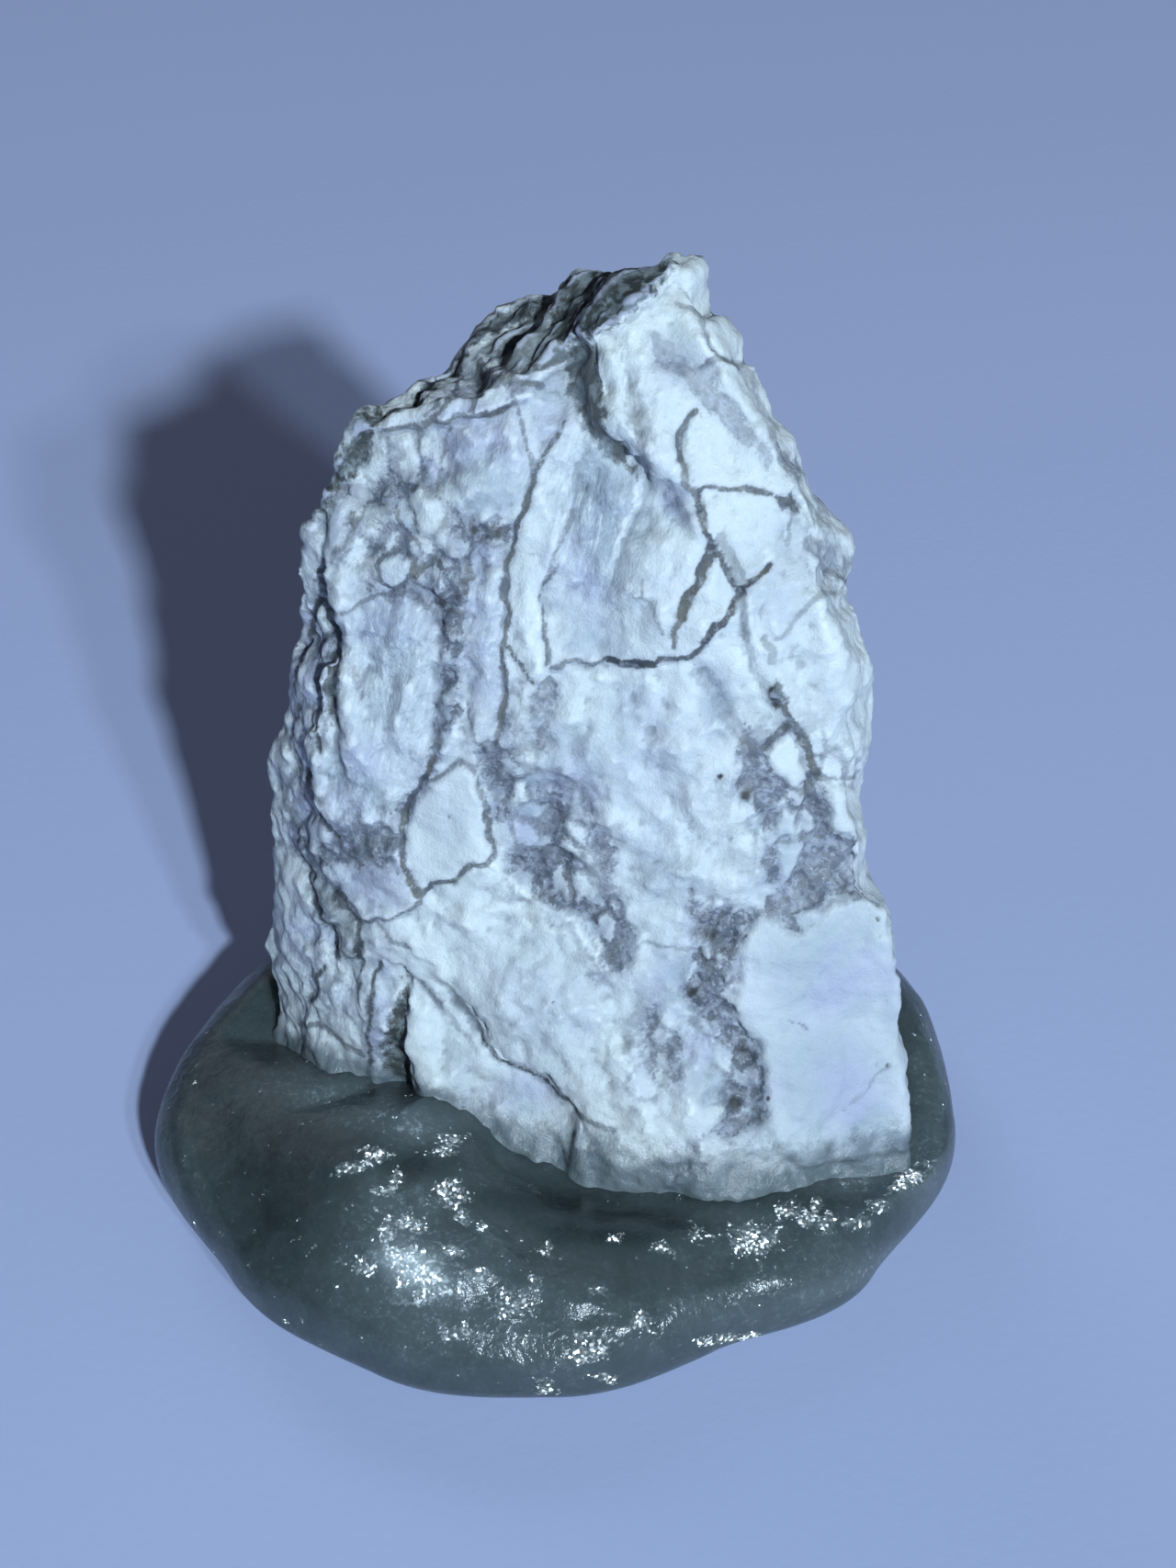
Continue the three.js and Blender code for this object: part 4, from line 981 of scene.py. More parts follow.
def facets(points, size, seed, bend=0.4):
    """Flat broken faces about a size across: random heights at a lattice's corners, joined by
    planes, with the lattice bent so that no two faces are alike."""
    place = (points + wandering(points, 2.2 * size, bend * size, seed + 0.17)) / size
    place += place.sum(1)[:, None] / 3
    corner = np.floor(place)
    part = place - corner
    order = np.argsort(-part, axis=1)
    falls = np.append(np.take_along_axis(part, order, axis=1), np.zeros((len(points), 1)), axis=1)
    height = (1 - falls[:, 0]) * corner_heights(corner, seed)
    for step in range(3):
        corner[np.arange(len(points)), order[:, step]] += 1
        height += (falls[:, step] - falls[:, step + 1]) * corner_heights(corner, seed)
    return height


def drawn_out(points, along, stretch):
    """Points squeezed along a direction, so that noise at them is drawn out along it."""
    way = np.array(Vector(along).normalized())
    return points - np.outer(points @ way, way) * (1 - 1 / stretch)


def pieces(points, size, seed):
    """Random pieces about a size across: each point's distance to the nearest border between two,
    in millimetres, and a number from 0 to 1 that is the same all over a piece."""
    shift = Vector((seed, 3.3 * seed, 1.9 * seed))
    gap = np.zeros(len(points))
    pick = np.zeros(len(points))
    for i, p in enumerate(points):
        distances, middles = noise.voronoi(Vector(p) / size + shift)
        gap[i] = (distances[1] - distances[0]) * size / 2
        pick[i] = noise.cell(middles[0] * 97)
    return gap, 0.5 + 0.5 * pick


def ridge_relief(seen, front):
    """Ridges and grooves, each with its own run on either side."""
    height = np.zeros(len(seen))
    for rise, left, right, route in RIDGES.values():
        near, distance, leftward = along_route(seen, route, 3 * max(left, right))
        run = np.where(leftward > 0, left, right)
        height[near] += rise * np.exp(-((distance / run) ** 2)) * front[near]
    return height


def ledge_relief(seen, front):
    """Ledges: one side stands up and the other lies lower, and both run out."""
    height = np.zeros(len(seen))
    for rise, fall, width, reach, route in LEDGES.values():
        near, distance, left = along_route(seen, route, 3 * reach)
        up = eased(left, -width / 2, width / 2)
        fade = np.exp(-((np.maximum(distance - width / 2, 0) / reach) ** 2))
        height[near] += (up * rise - (1 - up) * fall) * fade * front[near]
    return height


def raised(seen, shapes, front):
    """How far outlined shapes stand proud, each easing up inside its outline."""
    height = np.zeros(len(seen))
    for rise, ease, outline in shapes:
        near, depth = inside_depth(seen, outline)
        height[near] += rise * eased(depth, -0.15, ease) * front[near]
    return height


def crack_relief(seen, front):
    """The open cracks' and slots' depth, and how far outside the nearest one each point lies."""
    height = np.zeros(len(seen))
    gap = np.full(len(seen), 2.0)
    for width, depth, route in CRACKS.values():
        near, distance, _ = along_route(seen, route, 2.0)
        height[near] -= 0.5 * depth * np.exp(-((distance / (0.5 * width + 0.1)) ** 2)) * front[near]
        gap[near] = np.minimum(gap[near], distance - width / 2)
    for depth, outline in SLOTS.values():
        near, inner = inside_depth(seen, outline)
        height[near] -= depth * eased(inner, -0.25, 0.35) * front[near]
    return height, gap


def neighbours_mean(mesh, values, rounds):
    """Values at a mesh's points, each averaged with its neighbours a number of times."""
    ends = np.zeros(len(mesh.edges) * 2, int)
    mesh.edges.foreach_get("vertices", ends)
    first, second = ends.reshape(-1, 2).T
    total = len(mesh.vertices)
    count = np.bincount(ends, minlength=total)
    for _ in range(rounds):
        near = np.bincount(first, values[second], total) + np.bincount(second, values[first], total)
        values = 0.5 * values + 0.5 * near / count
    return values


def hollows(mesh, points, normals, rounds):
    """How far each point lies below the surface round it, in millimetres; ridges are below zero."""
    smooth = np.stack([neighbours_mean(mesh, points[:, axis], rounds) for axis in range(3)], axis=1)
    return ((smooth - points) * normals).sum(1)


def film_cover(points, seen, front):
    """How far down the putty's smeared film each point lies, 0 at its top and 1 at the putty, and
    how far the film hides the stone there."""
    top = on_sight(FILM_LINE)
    foot = on_sight(PUTTY_LINE)
    fill = np.array(FILM_FILL)
    high = np.interp(seen[:, 0], top[:, 0], top[:, 1])
    low = np.interp(seen[:, 0], foot[:, 0], foot[:, 1])
    ahead = (high - seen[:, 1]) / (high - low)
    behind = (HIDDEN_LINE + 1.2 - points[:, 2]) / 1.2
    across = (fill[:, 0] - PICTURE_MIDDLE[0]) * PIXEL
    hiding = np.interp(seen[:, 0], across, fill[:, 1])
    return ahead * front + behind * (1 - front), hiding * front + 0.9 * (1 - front)


def crown_share(seen, front):
    """How far each point lies on the crown, from 0 to 1."""
    skins = {name: SKINS_AND_SHADE[name] for name in ("top", "ladder")}
    gap, _ = fields(seen, skins, np.full(len(seen), 2.0), np.zeros(len(seen)))
    return eased(-gap, -0.3, 0.4) * front


def breakage(points, seen, front, pad, feathered, look):
    """The broken surface's rise and fall: chips all over, feathered here and there, calmer on the
    smooth lumps, and slanting ridges on the crown."""
    calm = 1 - 0.6 * pad
    crown = crown_share(seen, front)
    feather = look.feather / MM
    leaning = drawn_out(points, FEATHER_WAY, 4.0)
    slanting = drawn_out(points, CROWN_WAY, 3.0)
    height = np.zeros(len(points))
    for share, size, seed, least in CHIPS:
        height += share * look.chip / MM * facets(points, size, seed) * (least + (1 - least) * calm)
    for share, size, seed in FEATHER_LAYERS:
        height += share * feather * facets(leaning, size, seed, 0.2) * feathered * calm
    for share, size, seed in CROWN_LAYERS:
        height += share * feather * facets(slanting, size, seed, 0.15) * crown
    return height


def hidden_seams(points):
    """Seams of matrix on the sides out of sight: distance outside the nearest, in millimetres."""
    drift = swell(points, 8.0, 11.0) + 0.35 * swell(points, 3.0, 12.0)
    return 7.0 * np.abs(drift) - 0.45 * (1 + 1.6 * swell(points, 3.5, 13.0))


def veins_and_seams(points, seen, front):
    """How far outside the nearest vein and the nearest seam each point lies, and how strong each
    of them is: sighted ones on the front, random ones on the hidden sides."""
    hidden = 1 - front
    vein, vein_strength = gaps_to(seen, VEINS)
    seam, seam_strength = gaps_to(seen, SEAMS)
    seam, seam_strength = fields(seen, MATRIX, seam, seam_strength)
    bowed = points + wandering(points, 3.0, 0.9, 14.0) + wandering(points, 0.9, 0.2, 15.0)
    far_vein, _ = pieces(bowed, HIDDEN_VEIN_SPACING, 3.0)
    far_vein -= 0.10 * (1 + swell(points, 2.0, 16.0))
    return {
        "vein": np.minimum(vein + 2 * hidden, far_vein + 2 * front),
        "vein_strength": vein_strength * front + 0.8 * hidden,
        "seam": np.minimum(seam + 2 * hidden, hidden_seams(points) + 2 * front),
        "seam_strength": seam_strength * front + 0.85 * hidden,
    }


def crushed_relief(points, marks):
    """The rise and fall, in seam depths, of sunk seams, of the white lumps that stand in them, and
    of crushed stone, piece by piece."""
    ragged = marks["seam"] + 0.45 * swell(points, 0.8, 3.0) + 0.2 * swell(points, 0.35, 4.0)
    in_seam = (1 - eased(ragged, -0.15, 0.2)) * marks["seam_strength"]
    lump = eased(marks["web"], 0.02, 0.3) * (marks["pick"] > PIECE_GREY)
    uneven = 1.1 * (marks["pick"] - 0.5) + 0.7 * eased(marks["web"], 0.0, 0.25) - 0.5
    return marks["broken"] * uneven - in_seam * (1 + 1.2 * facets(points, 0.55, 9.0) - 1.2 * lump)


def sculpt_stone(obj, look):
    """Gives the stone its breakage, seams, veins and cracks, and keeps them for its material."""
    points, normals = read_points(obj.data)
    square = facing(points, normals)
    front = eased(square, -0.05, 0.13)
    hidden = 1 - front
    bent = points + wandering(points, 0.9, 0.24, 1.0) + wandering(points, 0.35, 0.10, 2.0)
    seen = sighted(bent)
    marks = veins_and_seams(points, seen, front)
    marks["web"], marks["pick"] = pieces(drawn_out(bent, PIECE_WAY, 1.6), PIECE_SIZE, 4.0)
    pad = np.clip(raised(seen, [(1.0, 0.3, outline) for _, outline in PADS.values()], front), 0, 1)
    crushed = patches(seen, BRECCIAS) * front + eased(swell(points, 7.0, 17.0), 0.15, 0.45) * hidden
    marks["pad"] = pad
    marks["broken"] = crushed * (1 - pad)
    marks["feather"] = patches(seen, FEATHERS) * front + 0.5 * hidden
    # Dark skin, and painted shade on the shaded slopes and hollows, with how thick each lies.
    skin, skin_strength = fields(seen, SKINS_AND_SHADE, np.full(len(seen), 2.0), np.zeros(len(seen)))
    marks["skin"] = -skin
    marks["skin_strength"] = skin_strength * eased(square, -0.35, -0.05)

    height = breakage(points, seen, front, pad, marks["feather"], look)
    crack_height, crack = crack_relief(seen, front)
    marks["crack"] = crack + 2 * hidden
    height += ridge_relief(seen, front) + ledge_relief(seen, front) + crack_height
    height += raised(seen, [(rise, 0.3, outline) for rise, outline in PADS.values()], front)
    height += raised(seen, BELLIES.values(), front)
    height += look.seam_depth / MM * crushed_relief(points, marks)
    height -= look.vein_depth / MM * (1 - eased(marks["vein"], -0.1, 0.2)) * marks["vein_strength"]
    write_points(obj.data, points + normals * height[:, None])
    soften(obj, 1, 0.25)

    points, normals = read_points(obj.data)
    seen = sighted(points)
    marks["tint"] = patches(seen, TINTS) * front + 0.3 * hidden
    stains = [(place, radius, radius, power) for place, radius, power in STAINS]
    marks["stain"] = patches(seen, stains) * front
    upward = eased(square, -0.3, -0.05)
    marks["film"], marks["film_fill"] = film_cover(points, seen, upward)
    # How far each point lies below its surroundings: drives the painted shade in the hollows and the
    # painted highlights on the ridges.
    marks["hollow"] = hollows(obj.data, points, normals, 3)
    marks["dip"] = hollows(obj.data, points, normals, 24)
    for name, values in marks.items():
        keep(obj.data, name, values)


def squeezed(tree, place, way, stretch):
    """A place squeezed along a direction, so that a texture at it is drawn out along it."""
    along = add(tree, "ShaderNodeVectorMath", operation="DOT_PRODUCT", inputs={0: place, 1: tuple(way)})
    part = times(tree, along.outputs["Value"], 1 - 1 / stretch)
    return vectors(tree, "SUBTRACT", place, scaled(tree, tuple(way), part))


def howlite_colour(tree, place, medium, coarse, look):
    """White howlite, greyer where it lets light in, and different from piece to broken piece."""
    calm = plus(tree, 1.0, measured(tree, "pad"), -0.5)
    drift = times(tree, centred(tree, coarse), 0.6)
    drift = plus(tree, drift, centred(tree, medium), 0.45)
    share = plus(tree, measured(tree, "tint"), drift, calm)
    piece = times(tree, maths(tree, "SUBTRACT", 0.52, measured(tree, "pick")), measured(tree, "broken"))
    share = ramp(tree, plus(tree, share, piece, 1.3), -0.15, 1.15)
    cooler = ramp(tree, mottle(tree, place, 4.0, 3, 0.5), 0.4, 0.6)
    grey = blend(tree, cooler, opaque(look.grey), tone("9CA9B4"))
    base = blend(tree, share, opaque(look.white), grey)
    cloud = ramp(tree, mottle(tree, place, 0.8, 5, 0.7, 0.8), 0.54, 0.74, 0.0, 0.12)
    return blend(tree, times(tree, cloud, calm), base, tone("8F97AD"))


def matrix_colour(tree, place, look):
    """Matrix: dark grains and brown stain in lavender grey, with a few white crystals."""
    dark = ramp(tree, mottle(tree, place, 0.7, 4, 0.65, 0.6), 0.44, 0.60)
    matrix = blend(tree, dark, tone("5A616B"), opaque(look.matrix))
    pale = ramp(tree, mottle(tree, place, 0.5, 3, 0.6, 0.4), 0.54, 0.68, 0.0, 0.8)
    matrix = blend(tree, pale, matrix, tone("9FA6B2"))
    brown = ramp(tree, mottle(tree, place, 1.4, 3, 0.6), 0.52, 0.66, 0.0, 0.45)
    matrix = blend(tree, brown, matrix, tone("565046"))
    crystal = ramp(tree, mottle(tree, place, 0.30, 1, 0.5), 0.72, 0.80, 0.0, 0.7)
    return blend(tree, crystal, matrix, tone("C6CCD6"))


def skin_and_shade_colour(tree, place, look):
    """Weathered skin and painted shade: green-grey, with painted shade near black in the grooves and
    painted highlights of lavender on the ridges.
    """
    hollow = measured(tree, "hollow")
    patchy = ramp(tree, mottle(tree, place, 0.9, 4, 0.65, 0.5), 0.44, 0.60)
    skin = blend(tree, patchy, opaque(look.skin), tone("6A7478"))
    # Painted shade: near black in the grooves.
    skin = blend(tree, ramp(tree, hollow, 0.01, 0.06, 0.0, 0.7), skin, tone("1C2222"))
    # Painted highlights: lavender on the ridges.
    return blend(tree, ramp(tree, hollow, -0.015, -0.07, 0.0, 0.95), skin, tone("A0A6B6"))


def streaked(tree, base, streak):
    """Feathered breakage: grey and pale streaks."""
    feather = measured(tree, "feather")
    grey = times(tree, ramp(tree, streak, 0.5, 0.66, 0.0, 0.4), feather)
    base = blend(tree, grey, base, tone("7C859B"))
    pale = times(tree, ramp(tree, streak, 0.46, 0.32, 0.0, 0.5), feather)
    return blend(tree, pale, base, tone("E6EBEC"))


def shaded_and_highlit(tree, base):
    """Painted shade darkens the hollows, and painted highlights whiten the ridges, least on the smooth
    lumps.
    """
    hollow = measured(tree, "hollow")
    # Painted shade in the broad hollows, and darker painted shade in the small ones.
    deep = ramp(tree, measured(tree, "dip"), 0.04, 0.28, 0.0, 0.2)
    base = blend(tree, deep, base, tone("6E768C"), "MULTIPLY")
    base = blend(tree, ramp(tree, hollow, 0.008, 0.05, 0.0, 0.35), base, tone("4E566C"), "MULTIPLY")
    # Painted highlights on the ridges, fewer on the smooth lumps.
    highlight_share = plus(tree, 1.0, measured(tree, "pad"), -0.7)
    ridge_highlight = times(tree, ramp(tree, hollow, -0.010, -0.06, 0.0, 0.5), highlight_share)
    return blend(tree, ridge_highlight, base, tone("EAEFF0"))


def seamed(tree, place, base, jitter, wobble, look):
    """Matrix in the seams, with a grey border where it fades into the stone, white lumps standing
    in it, and a dark web between the pieces of crushed stone."""
    ragged = plus(tree, measured(tree, "seam"), wobble, 1.3)
    ragged = plus(tree, ragged, jitter, 0.5)
    strength = measured(tree, "seam_strength")
    broken = measured(tree, "broken")
    border = times(tree, ramp(tree, ragged, 0.55, 0.0, 0.0, 0.5), strength)
    base = blend(tree, border, base, tone("8E96A6"))
    in_seam = times(tree, ramp(tree, ragged, 0.14, -0.10), strength)
    matrix = matrix_colour(tree, place, look)
    edge = plus(tree, measured(tree, "web"), jitter, 0.35)
    white = ramp(tree, measured(tree, "pick"), PIECE_GREY - 0.02, PIECE_GREY + 0.02)
    lump = times(tree, times(tree, ramp(tree, edge, 0.10, 0.22, 0.0, 0.92), white), broken)
    base = blend(tree, times(tree, in_seam, maths(tree, "SUBTRACT", 1.0, lump)), base, matrix)
    web = ramp(tree, edge, 0.22, 0.02, 0.0, 0.95)
    web = times(tree, web, ramp(tree, mottle(tree, place, 1.5, 2, 0.5), 0.34, 0.52))
    return blend(tree, times(tree, web, broken), base, blend(tree, 0.6, matrix, tone("4A505B")))


def veined(tree, place, base, jitter, wobble, medium, look):
    """Veins: dark in the middle, broken here and there, fading into the white on both sides."""
    strength = measured(tree, "vein_strength")
    shaky = plus(tree, measured(tree, "vein"), jitter, 0.22)
    shaky = plus(tree, shaky, wobble, 0.25)
    halo = times(tree, ramp(tree, shaky, 0.26, 0.0, 0.0, 0.3), strength)
    base = blend(tree, halo, base, tone("848BA0"))
    in_vein = times(tree, ramp(tree, shaky, 0.09, -0.05), strength)
    in_vein = times(tree, in_vein, ramp(tree, medium, 0.32, 0.5, 0.6, 1.0))
    browner = ramp(tree, mottle(tree, place, 1.6, 2, 0.5), 0.45, 0.62)
    return blend(tree, in_vein, base, blend(tree, browner, opaque(look.vein), tone("4F5048")))


def weathered(tree, place, base, jitter, wobble, look):
    """Stains, weathered skin that also stands as painted shade on slopes turned from the light, and
    painted shade in open cracks.
    """
    stained = ramp(tree, plus(tree, measured(tree, "stain"), wobble, 0.9), 0.30, 0.75)
    base = blend(tree, stained, base, tone("38393A"))
    # Dark skin, and painted shade on the shaded slopes and hollows.
    skin_and_shade_cover = plus(tree, measured(tree, "skin"), wobble, 1.6)
    skin_and_shade_cover = times(tree, ramp(tree, skin_and_shade_cover, -0.15, 0.3), measured(tree, "skin_strength"))
    base = blend(tree, skin_and_shade_cover, base, skin_and_shade_colour(tree, place, look))
    # Painted shade inside the open cracks.
    crack_shade = plus(tree, measured(tree, "crack"), jitter, 0.2)
    return blend(tree, ramp(tree, crack_shade, 0.08, -0.12, 0.0, 0.85), base, tone("1C2229"))


def smeared(tree, base, coarse, wobble, medium):
    """Putty smeared up the foot: thin and clear at its top edge, then hazier. Gives the colour and
    how wet the stone is."""
    depth = plus(tree, measured(tree, "film"), centred(tree, coarse), 1.2)
    depth = plus(tree, depth, wobble, 0.5)
    murk = blend(tree, ramp(tree, medium, 0.42, 0.62), tone("566268"), tone("6C7881"))
    murk = blend(tree, ramp(tree, depth, 0.4, 0.95), murk, tone("536166"))
    hiding = times(tree, ramp(tree, depth, -0.15, 0.6), measured(tree, "film_fill"))
    return blend(tree, hiding, base, murk), ramp(tree, depth, -0.05, 0.15)


def stone_material(look):
    """Howlite, broken: fine-grained and porcelain-like, so matt white with a faint sheen, with
    patches where it is greyer and lets light in, dark veins, and mottled matrix in the seams."""
    material, tree = new_material("broken_howlite")
    place = add(tree, "ShaderNodeTexCoord").outputs["Object"]
    medium = mottle(tree, place, 0.6, 4, 0.65)
    coarse = mottle(tree, place, 1.8, 4, 0.6, 0.4)
    jitter = centred(tree, mottle(tree, place, 0.22, 3, 0.6))
    wobble = centred(tree, medium)
    streak = mottle(tree, squeezed(tree, place, FEATHER_WAY, 6.0), 0.24, 3, 0.6)
    base = howlite_colour(tree, place, medium, coarse, look)
    base = shaded_and_highlit(tree, streaked(tree, base, streak))
    base = seamed(tree, place, base, jitter, wobble, look)
    base = veined(tree, place, base, jitter, wobble, medium, look)
    base = weathered(tree, place, base, jitter, wobble, look)
    base, wet = smeared(tree, base, coarse, wobble, medium)

    # Fine broken grain, under the size of the mesh.
    grit = mottle(tree, place, 0.13, 4, 0.65)
    height = plus(tree, mottle(tree, place, 0.5, 4, 0.65), grit, 0.45)
    height = plus(tree, height, times(tree, streak, measured(tree, "feather")), 0.9)
    shader = add(tree, "ShaderNodeBsdfPrincipled", inputs={
        "Base Color": base, "IOR": 1.59, "Roughness": plus(tree, 0.6, wet, -0.35),
        "Normal": bumped(tree, height, 0.13, 0.8)})
    add(tree, "ShaderNodeOutputMaterial", inputs={"Surface": shader.outputs[0]})
    return material


def putty_reach(azimuth):
    """The putty's reach from its middle, eased between the outline's distances."""
    count = len(PUTTY_OUTLINE)
    turns = (azimuth / (2 * math.pi)) % 1 * count
    before = int(turns) % count
    share = turns - int(turns)
    share = share * share * (3 - 2 * share)
    return PUTTY_OUTLINE[before] * (1 - share) + PUTTY_OUTLINE[(before + 1) % count] * share


def putty_rise(x, y):
    rise = PUTTY_HEIGHT - PUTTY_GIRTH
    for place, up, spread in PUTTY_LUMPS:
        away = math.hypot(x - place[0], y - place[1]) / spread
        rise += up * math.exp(-away * away)
    return rise


def lump_place(ball):
    """Where a point of a unit ball goes on the pressed lump, in the frame's millimetres."""
    level = math.hypot(ball.x, ball.y)
    swollen = (level ** PUTTY_FLATNESS + abs(ball.z) ** PUTTY_FLATNESS) ** (-1 / PUTTY_FLATNESS)
    reach = putty_reach(math.atan2(ball.y, ball.x)) * swollen
    x = PUTTY_MIDDLE[0] + ball.x * reach
    y = PUTTY_MIDDLE[1] + ball.y * reach
    rise = putty_rise(x, y) if ball.z > 0 else PUTTY_GIRTH + 1
    return Vector((x, y, PUTTY_GIRTH + ball.z * swollen * rise)) + PUTTY_SHIFT


def waterline(side):
    """Azimuths round the stone and the putty's height against it there, in millimetres."""
    azimuths = []
    heights = []
    for right, up in on_sight(PUTTY_LINE):
        through = AIM + SIGHT_RIGHT * right + SIGHT_UP * up
        hit, _, _, _ = side.ray_cast(EYE * MM, (through - EYE).normalized())
        if hit is not None:
            azimuths.append(math.atan2(hit.y / MM - AIM.y, hit.x / MM - AIM.x))
            heights.append(hit.z / MM)
    for turn in (0.15, 0.3, 0.5, 0.7, 0.85):
        azimuths.append(turn * math.pi)
        heights.append(HIDDEN_LINE)
    order = np.argsort(azimuths)
    return np.array(azimuths)[order], np.array(heights)[order]


def fold_relief(seen):
    """The folds' rise, steeper on the side towards the eye."""
    height = np.zeros(len(seen))
    for rise, near_run, far_run, route in FOLDS.values():
        near, distance, left = along_route(seen, route, 3 * max(near_run, far_run))
        run = np.where(left > 0, far_run, near_run)
        height[near] += rise * np.exp(-((distance / run) ** 2))
    return height


def finger_marks(place, ripple):
    """The putty's uneven rise at a place: broad finger marks with finer ones on them."""
    marks = noise.noise(place / 5.0 + Vector((4, 1, 7))) + 0.5 * noise.noise(place / 2.2)
    return ripple * (marks + 0.35 * noise.noise(place / 1.1 + Vector((2, 8, 5))))


def keep_glints(mesh):
    """Keeps on the mesh where the putty glints, and how much paler or darker it is: clouded putty,
    painted sheen about the glints, painted light at the thin rim, and painted shade in the trough.
    """
    points, normals = read_points(mesh)
    seen = sighted(points)
    front = eased(facing(points, normals), 0.02, 0.2)
    line, line_strength = gaps_to(seen, RIM_LINES)
    # Paler for clouding and painted sheen, darker for painted shade in the trough.
    haze = sum(power * patch(seen, place, across, up) for place, across, up, power in HAZE_SHEEN_AND_SHADE)
    keep(mesh, "glint", patches(seen, [(*mark, 1.0) for mark in GLINTS]) * front)
    # Pale rim lines: folds, and painted light at the thin rim.
    keep(mesh, "haze", (haze + 0.8 * (1 - eased(line, -0.1, 0.35)) * line_strength) * front)


def pressed_putty(name, stone, look):
    """The putty lump, closed, folded and finely rippled, climbing a little against the stone."""
    sculpt = bmesh.new()
    bmesh.ops.create_icosphere(sculpt, subdivisions=7, radius=1)
    side = BVHTree.FromObject(stone, bpy.context.evaluated_depsgraph_get())
    azimuths, heights = waterline(side)
    ripple = look.ripple / MM
    places = [lump_place(vertex.co) for vertex in sculpt.verts]
    folds = fold_relief(sighted(np.array(places)))
    for vertex, place, fold in zip(sculpt.verts, places, folds):
        upper = min(max(vertex.co.z, 0.0) * 4, 1.0)
        _, _, _, gap = side.find_nearest(place * MM)
        outside = max(gap / MM - PRESSED_NEAR, 0.0)
        azimuth = math.atan2(place.y - AIM.y, place.x - AIM.x)
        level = np.interp(azimuth, azimuths, heights, period=2 * math.pi)
        rise = finger_marks(place, ripple) + fold
        place.z += (level - place.z) * math.exp(-((outside / PRESSED_REACH) ** 2)) * upper
        place.z += rise * upper
        place.x += 0.25 * ripple * noise.noise(place / 2.5 + Vector((9, 3, 2)))
        place.z = max(place.z, 0.0)
        vertex.co = place * MM
    bmesh.ops.recalc_face_normals(sculpt, faces=sculpt.faces)
    mesh = bpy.data.meshes.new(name)
    sculpt.to_mesh(mesh)
    sculpt.free()
    mesh.shade_smooth()
    keep_glints(mesh)
    return linked(bpy.data.objects.new(name, mesh))


def crumpled(tree, place, size, normal, turned, spread):
    """A normal broken into little flat faces, turned by a share towards the direction that throws
    the main light to the eye's place, and each tipped its own way."""
    light = tuple((AIM + KEY_PLACE - PUTTY_FRONT).normalized())
    towards = vectors(tree, "NORMALIZE", vectors(tree, "SUBTRACT", tuple(EYE * MM), place))
    half = vectors(tree, "NORMALIZE", vectors(tree, "ADD", towards, light))
    cells = add(tree, "ShaderNodeTexVoronoi", inputs={"Vector": place, "Scale": 1 / size})
    tipped = vectors(tree, "SUBTRACT", cells.outputs["Color"], (0.5, 0.5, 0.5))
    aim = vectors(tree, "ADD", half, scaled(tree, tipped, spread))
    return vectors(tree, "NORMALIZE", blend(tree, turned, normal, aim))


def putty_material(look):
    """Tacking putty: a soft clear rubber, smoky grey-green, seen into for a few millimetres, with
    a wet skin that finger marks have crumpled, so that it glints in clusters."""
    material, tree = new_material("smoky_tacking_putty")
    place = add(tree, "ShaderNodeTexCoord").outputs["Object"]
    cloud = centred(tree, mottle(tree, place, 2.2, 5, 0.65, 0.6))
    specks = ramp(tree, mottle(tree, place, 0.4, 5, 0.75), 0.48, 0.66)
    # Paler where the putty is clouded and where sheen about the glint clusters is painted, darker where
    # shade in the trough is painted.
    haze_sheen_shade = plus(tree, measured(tree, "haze"), cloud, 1.2)
    share = ramp(tree, haze_sheen_shade, -0.9, 1.1)
    share = plus(tree, share, specks, ramp(tree, haze_sheen_shade, 0.0, 1.1, 0.08, 0.9))
    base = blend(tree, share, opaque(look.tone), opaque(look.haze))
    milky_and_sheen = plus(tree, haze_sheen_shade, specks, 0.9)
    # Whitish: partly milky putty, partly painted sheen of fine glints.
    base = blend(tree, ramp(tree, milky_and_sheen, 1.2, 3.0, 0.0, 0.8), base, tone("C4CFD2"))
    glint = centred(tree, mottle(tree, place, 0.8, 5, 0.75))
    glint = plus(tree, measured(tree, "glint"), glint, 2.6)
    loose = ramp(tree, mottle(tree, place, 0.32, 1, 0.5), 0.765, 0.785)
    loose = times(tree, loose, ramp(tree, haze_sheen_shade, -0.1, 0.5))
    turned = maths(tree, "MAXIMUM", ramp(tree, glint, 0.34, 0.42), loose)
    height = plus(tree, mottle(tree, place, 1.2, 4, 0.6), mottle(tree, place, 0.35, 3, 0.6), 0.35)
    spread = ramp(tree, glint, 0.35, 1.0, 0.5, 0.26)
    normal = crumpled(tree, place, look.crumple, bumped(tree, height, 0.15), turned, spread)
    shader = add(tree, "ShaderNodeBsdfPrincipled", inputs={
        "Base Color": base, "IOR": 1.45, "Roughness": 0.22,
        "Transmission Weight": ramp(tree, milky_and_sheen, 0.9, 2.6, 0.6, 0.2),
        "Subsurface Weight": 1.0, "Subsurface Radius": (1.0, 1.2, 1.1), "Subsurface Scale": 1.2 * MM,
        "Normal": normal})
    absorbed = add(tree, "ShaderNodeVolumeAbsorption", inputs={
        "Color": tone("AEBFBC"), "Density": 380.0})
    add(tree, "ShaderNodeOutputMaterial", inputs={
        "Surface": shader.outputs[0], "Volume": absorbed.outputs[0]})
    return material


def card_material(look):
    """Matt card: plain, with the faint tooth of paper."""
    material, tree = new_material("pale_card")
    place = add(tree, "ShaderNodeTexCoord").outputs["Object"]
    shader = add(tree, "ShaderNodeBsdfPrincipled", inputs={
        "Base Color": opaque(look.floor), "Roughness": 0.85,
        "Normal": bumped(tree, mottle(tree, place, 0.8), 0.1, 0.15)})
    add(tree, "ShaderNodeOutputMaterial", inputs={"Surface": shader.outputs[0]})
    return material


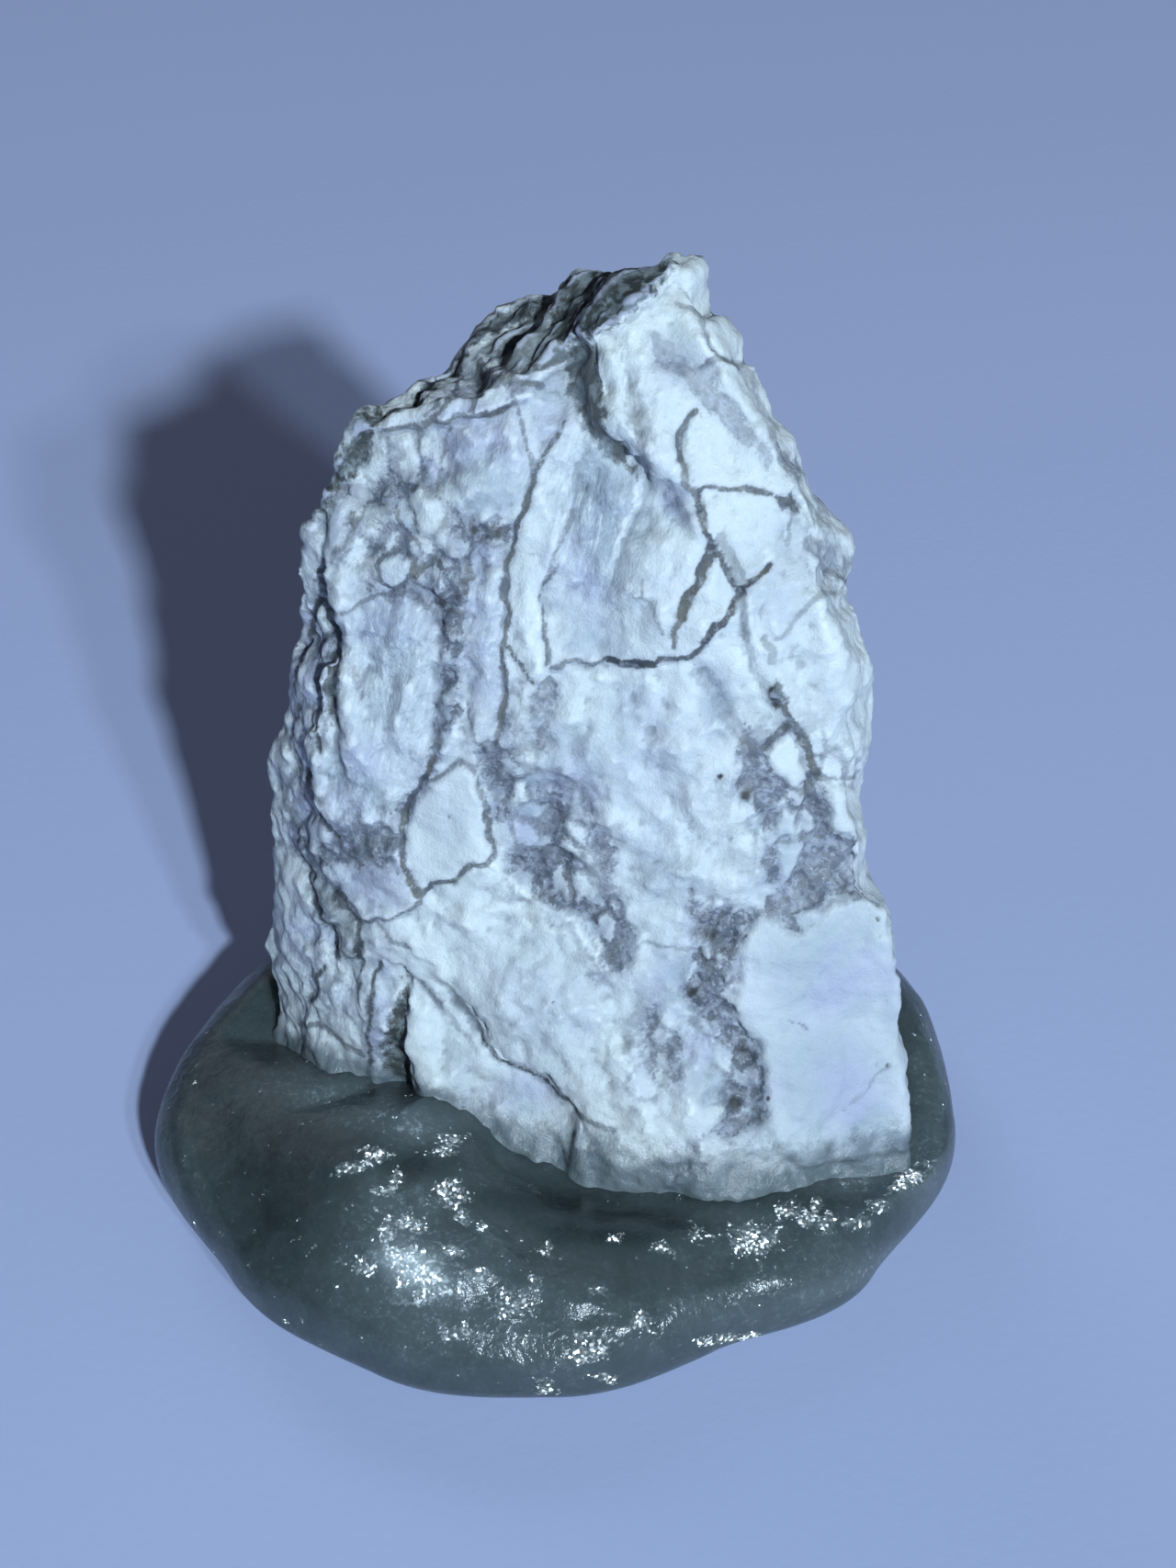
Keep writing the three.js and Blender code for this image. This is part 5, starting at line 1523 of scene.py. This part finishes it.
class HOWLITE_OT_stone(bpy.types.Operator):
    """Makes the broken howlite from its solid"""
    bl_idname = "howlite.stone"
    bl_label = "Howlite stone"

    def execute(self, context):
        look = context.scene.howlite_stone
        stone = merged_copy("howlite", "howlite_stone")
        remeshed(stone, look.grain)
        soften(stone, 2)
        ease_steps(stone)
        nudge(stone)
        points, normals = read_points(stone.data)
        refine(stone, facing(points, normals) > -0.02)
        sculpt_stone(stone, look)
        stone.data.shade_smooth()
        stone.data.materials.append(stone_material(look))
        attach(stone, BODY)
        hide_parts("howlite")
        return {"FINISHED"}


class HOWLITE_OT_putty(bpy.types.Operator):
    """Makes the lump of putty that the stone is pressed into"""
    bl_idname = "howlite.putty"
    bl_label = "Putty lump"

    def execute(self, context):
        look = context.scene.howlite_putty
        putty = pressed_putty("putty_lump", bpy.data.objects["howlite_stone"], look)
        putty.data.materials.append(putty_material(look))
        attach(putty, BODY)
        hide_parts("putty_base")
        return {"FINISHED"}


def area_light(name, place, power, size, tint):
    """A square light, its place given from the aim in millimetres, turned to face the aim."""
    light = bpy.data.lights.new(name, "AREA")
    light.energy = power
    light.size = size * MM
    light.color = tint
    lamp = linked(bpy.data.objects.new(name, light))
    lamp.location = (AIM + place) * MM
    lamp.rotation_euler = (-place).to_track_quat("-Z", "Y").to_euler()
    return lamp


def floor_sheet(look):
    sheet = bmesh.new()
    bmesh.ops.create_grid(sheet, x_segments=1, y_segments=1, size=FLOOR_HALF * MM)
    mesh = bpy.data.meshes.new("floor")
    sheet.to_mesh(mesh)
    sheet.free()
    mesh.materials.append(card_material(look))
    floor = linked(bpy.data.objects.new("floor", mesh))


def lights(look):
    area_light("key_light", KEY_PLACE, look.key_power, KEY_SIZE, COOL_TINT)
    area_light("second_light", SECOND_PLACE, look.key_power * SECOND_SHARE, KEY_SIZE, COOL_TINT)
    back = area_light("back_light", BACK_PLACE, look.key_power * BACK_SHARE, BACK_SIZE, BACK_TINT)
    back.visible_glossy = False


def room(scene):
    world = bpy.data.worlds.new("room")
    world.use_nodes = True
    background = world.node_tree.nodes["Background"]
    background.inputs["Color"].default_value = tone("B9C4E8")
    background.inputs["Strength"].default_value = ROOM_STRENGTH
    scene.world = world
    scene.view_settings.view_transform = "Standard"


def camera(scene):
    view = bpy.data.cameras.new("camera")
    view.lens = LENS
    view.sensor_width = SENSOR
    view.clip_start = 10 * MM
    eye = linked(bpy.data.objects.new("camera", view))
    eye.location = EYE * MM
    eye.rotation_euler = (math.pi / 2 - EYE_ELEVATION, 0, 0)
    scene.camera = eye


class HOWLITE_OT_stage(bpy.types.Operator):
    """Makes the floor, the lights and the camera"""
    bl_idname = "howlite.stage"
    bl_label = "Stage"

    def execute(self, context):
        look = context.scene.howlite_stage
        floor_sheet(look)
        lights(look)
        room(context.scene)
        camera(context.scene)
        return {"FINISHED"}


class HOWLITE_PT_panel(bpy.types.Panel):
    bl_label = "Rough howlite"
    bl_idname = "HOWLITE_PT_panel"
    bl_space_type = "VIEW_3D"
    bl_region_type = "UI"
    bl_category = "Howlite"

    def draw(self, context):
        for group, operator in (
            (context.scene.howlite_stone, "howlite.stone"),
            (context.scene.howlite_putty, "howlite.putty"),
            (context.scene.howlite_stage, "howlite.stage"),
        ):
            box = self.layout.box()
            for name in group.bl_rna.properties.keys():
                if name not in ("name", "rna_type"):
                    box.prop(group, name)
            box.operator(operator)


CLASSES = (
    HowliteStoneLook, HowlitePuttyLook, HowliteStageLook,
    HOWLITE_OT_stone, HOWLITE_OT_putty, HOWLITE_OT_stage, HOWLITE_PT_panel,
)


def register():
    for item in CLASSES:
        bpy.utils.register_class(item)
    bpy.types.Scene.howlite_stone = bpy.props.PointerProperty(type=HowliteStoneLook)
    bpy.types.Scene.howlite_putty = bpy.props.PointerProperty(type=HowlitePuttyLook)
    bpy.types.Scene.howlite_stage = bpy.props.PointerProperty(type=HowliteStageLook)


def unregister():
    del bpy.types.Scene.howlite_stage
    del bpy.types.Scene.howlite_putty
    del bpy.types.Scene.howlite_stone
    for item in reversed(CLASSES):
        bpy.utils.unregister_class(item)


def main():
    register()
    bpy.ops.howlite.stage()
    bpy.ops.howlite.stone()
    bpy.ops.howlite.putty()


if __name__ == "__main__":
    main()
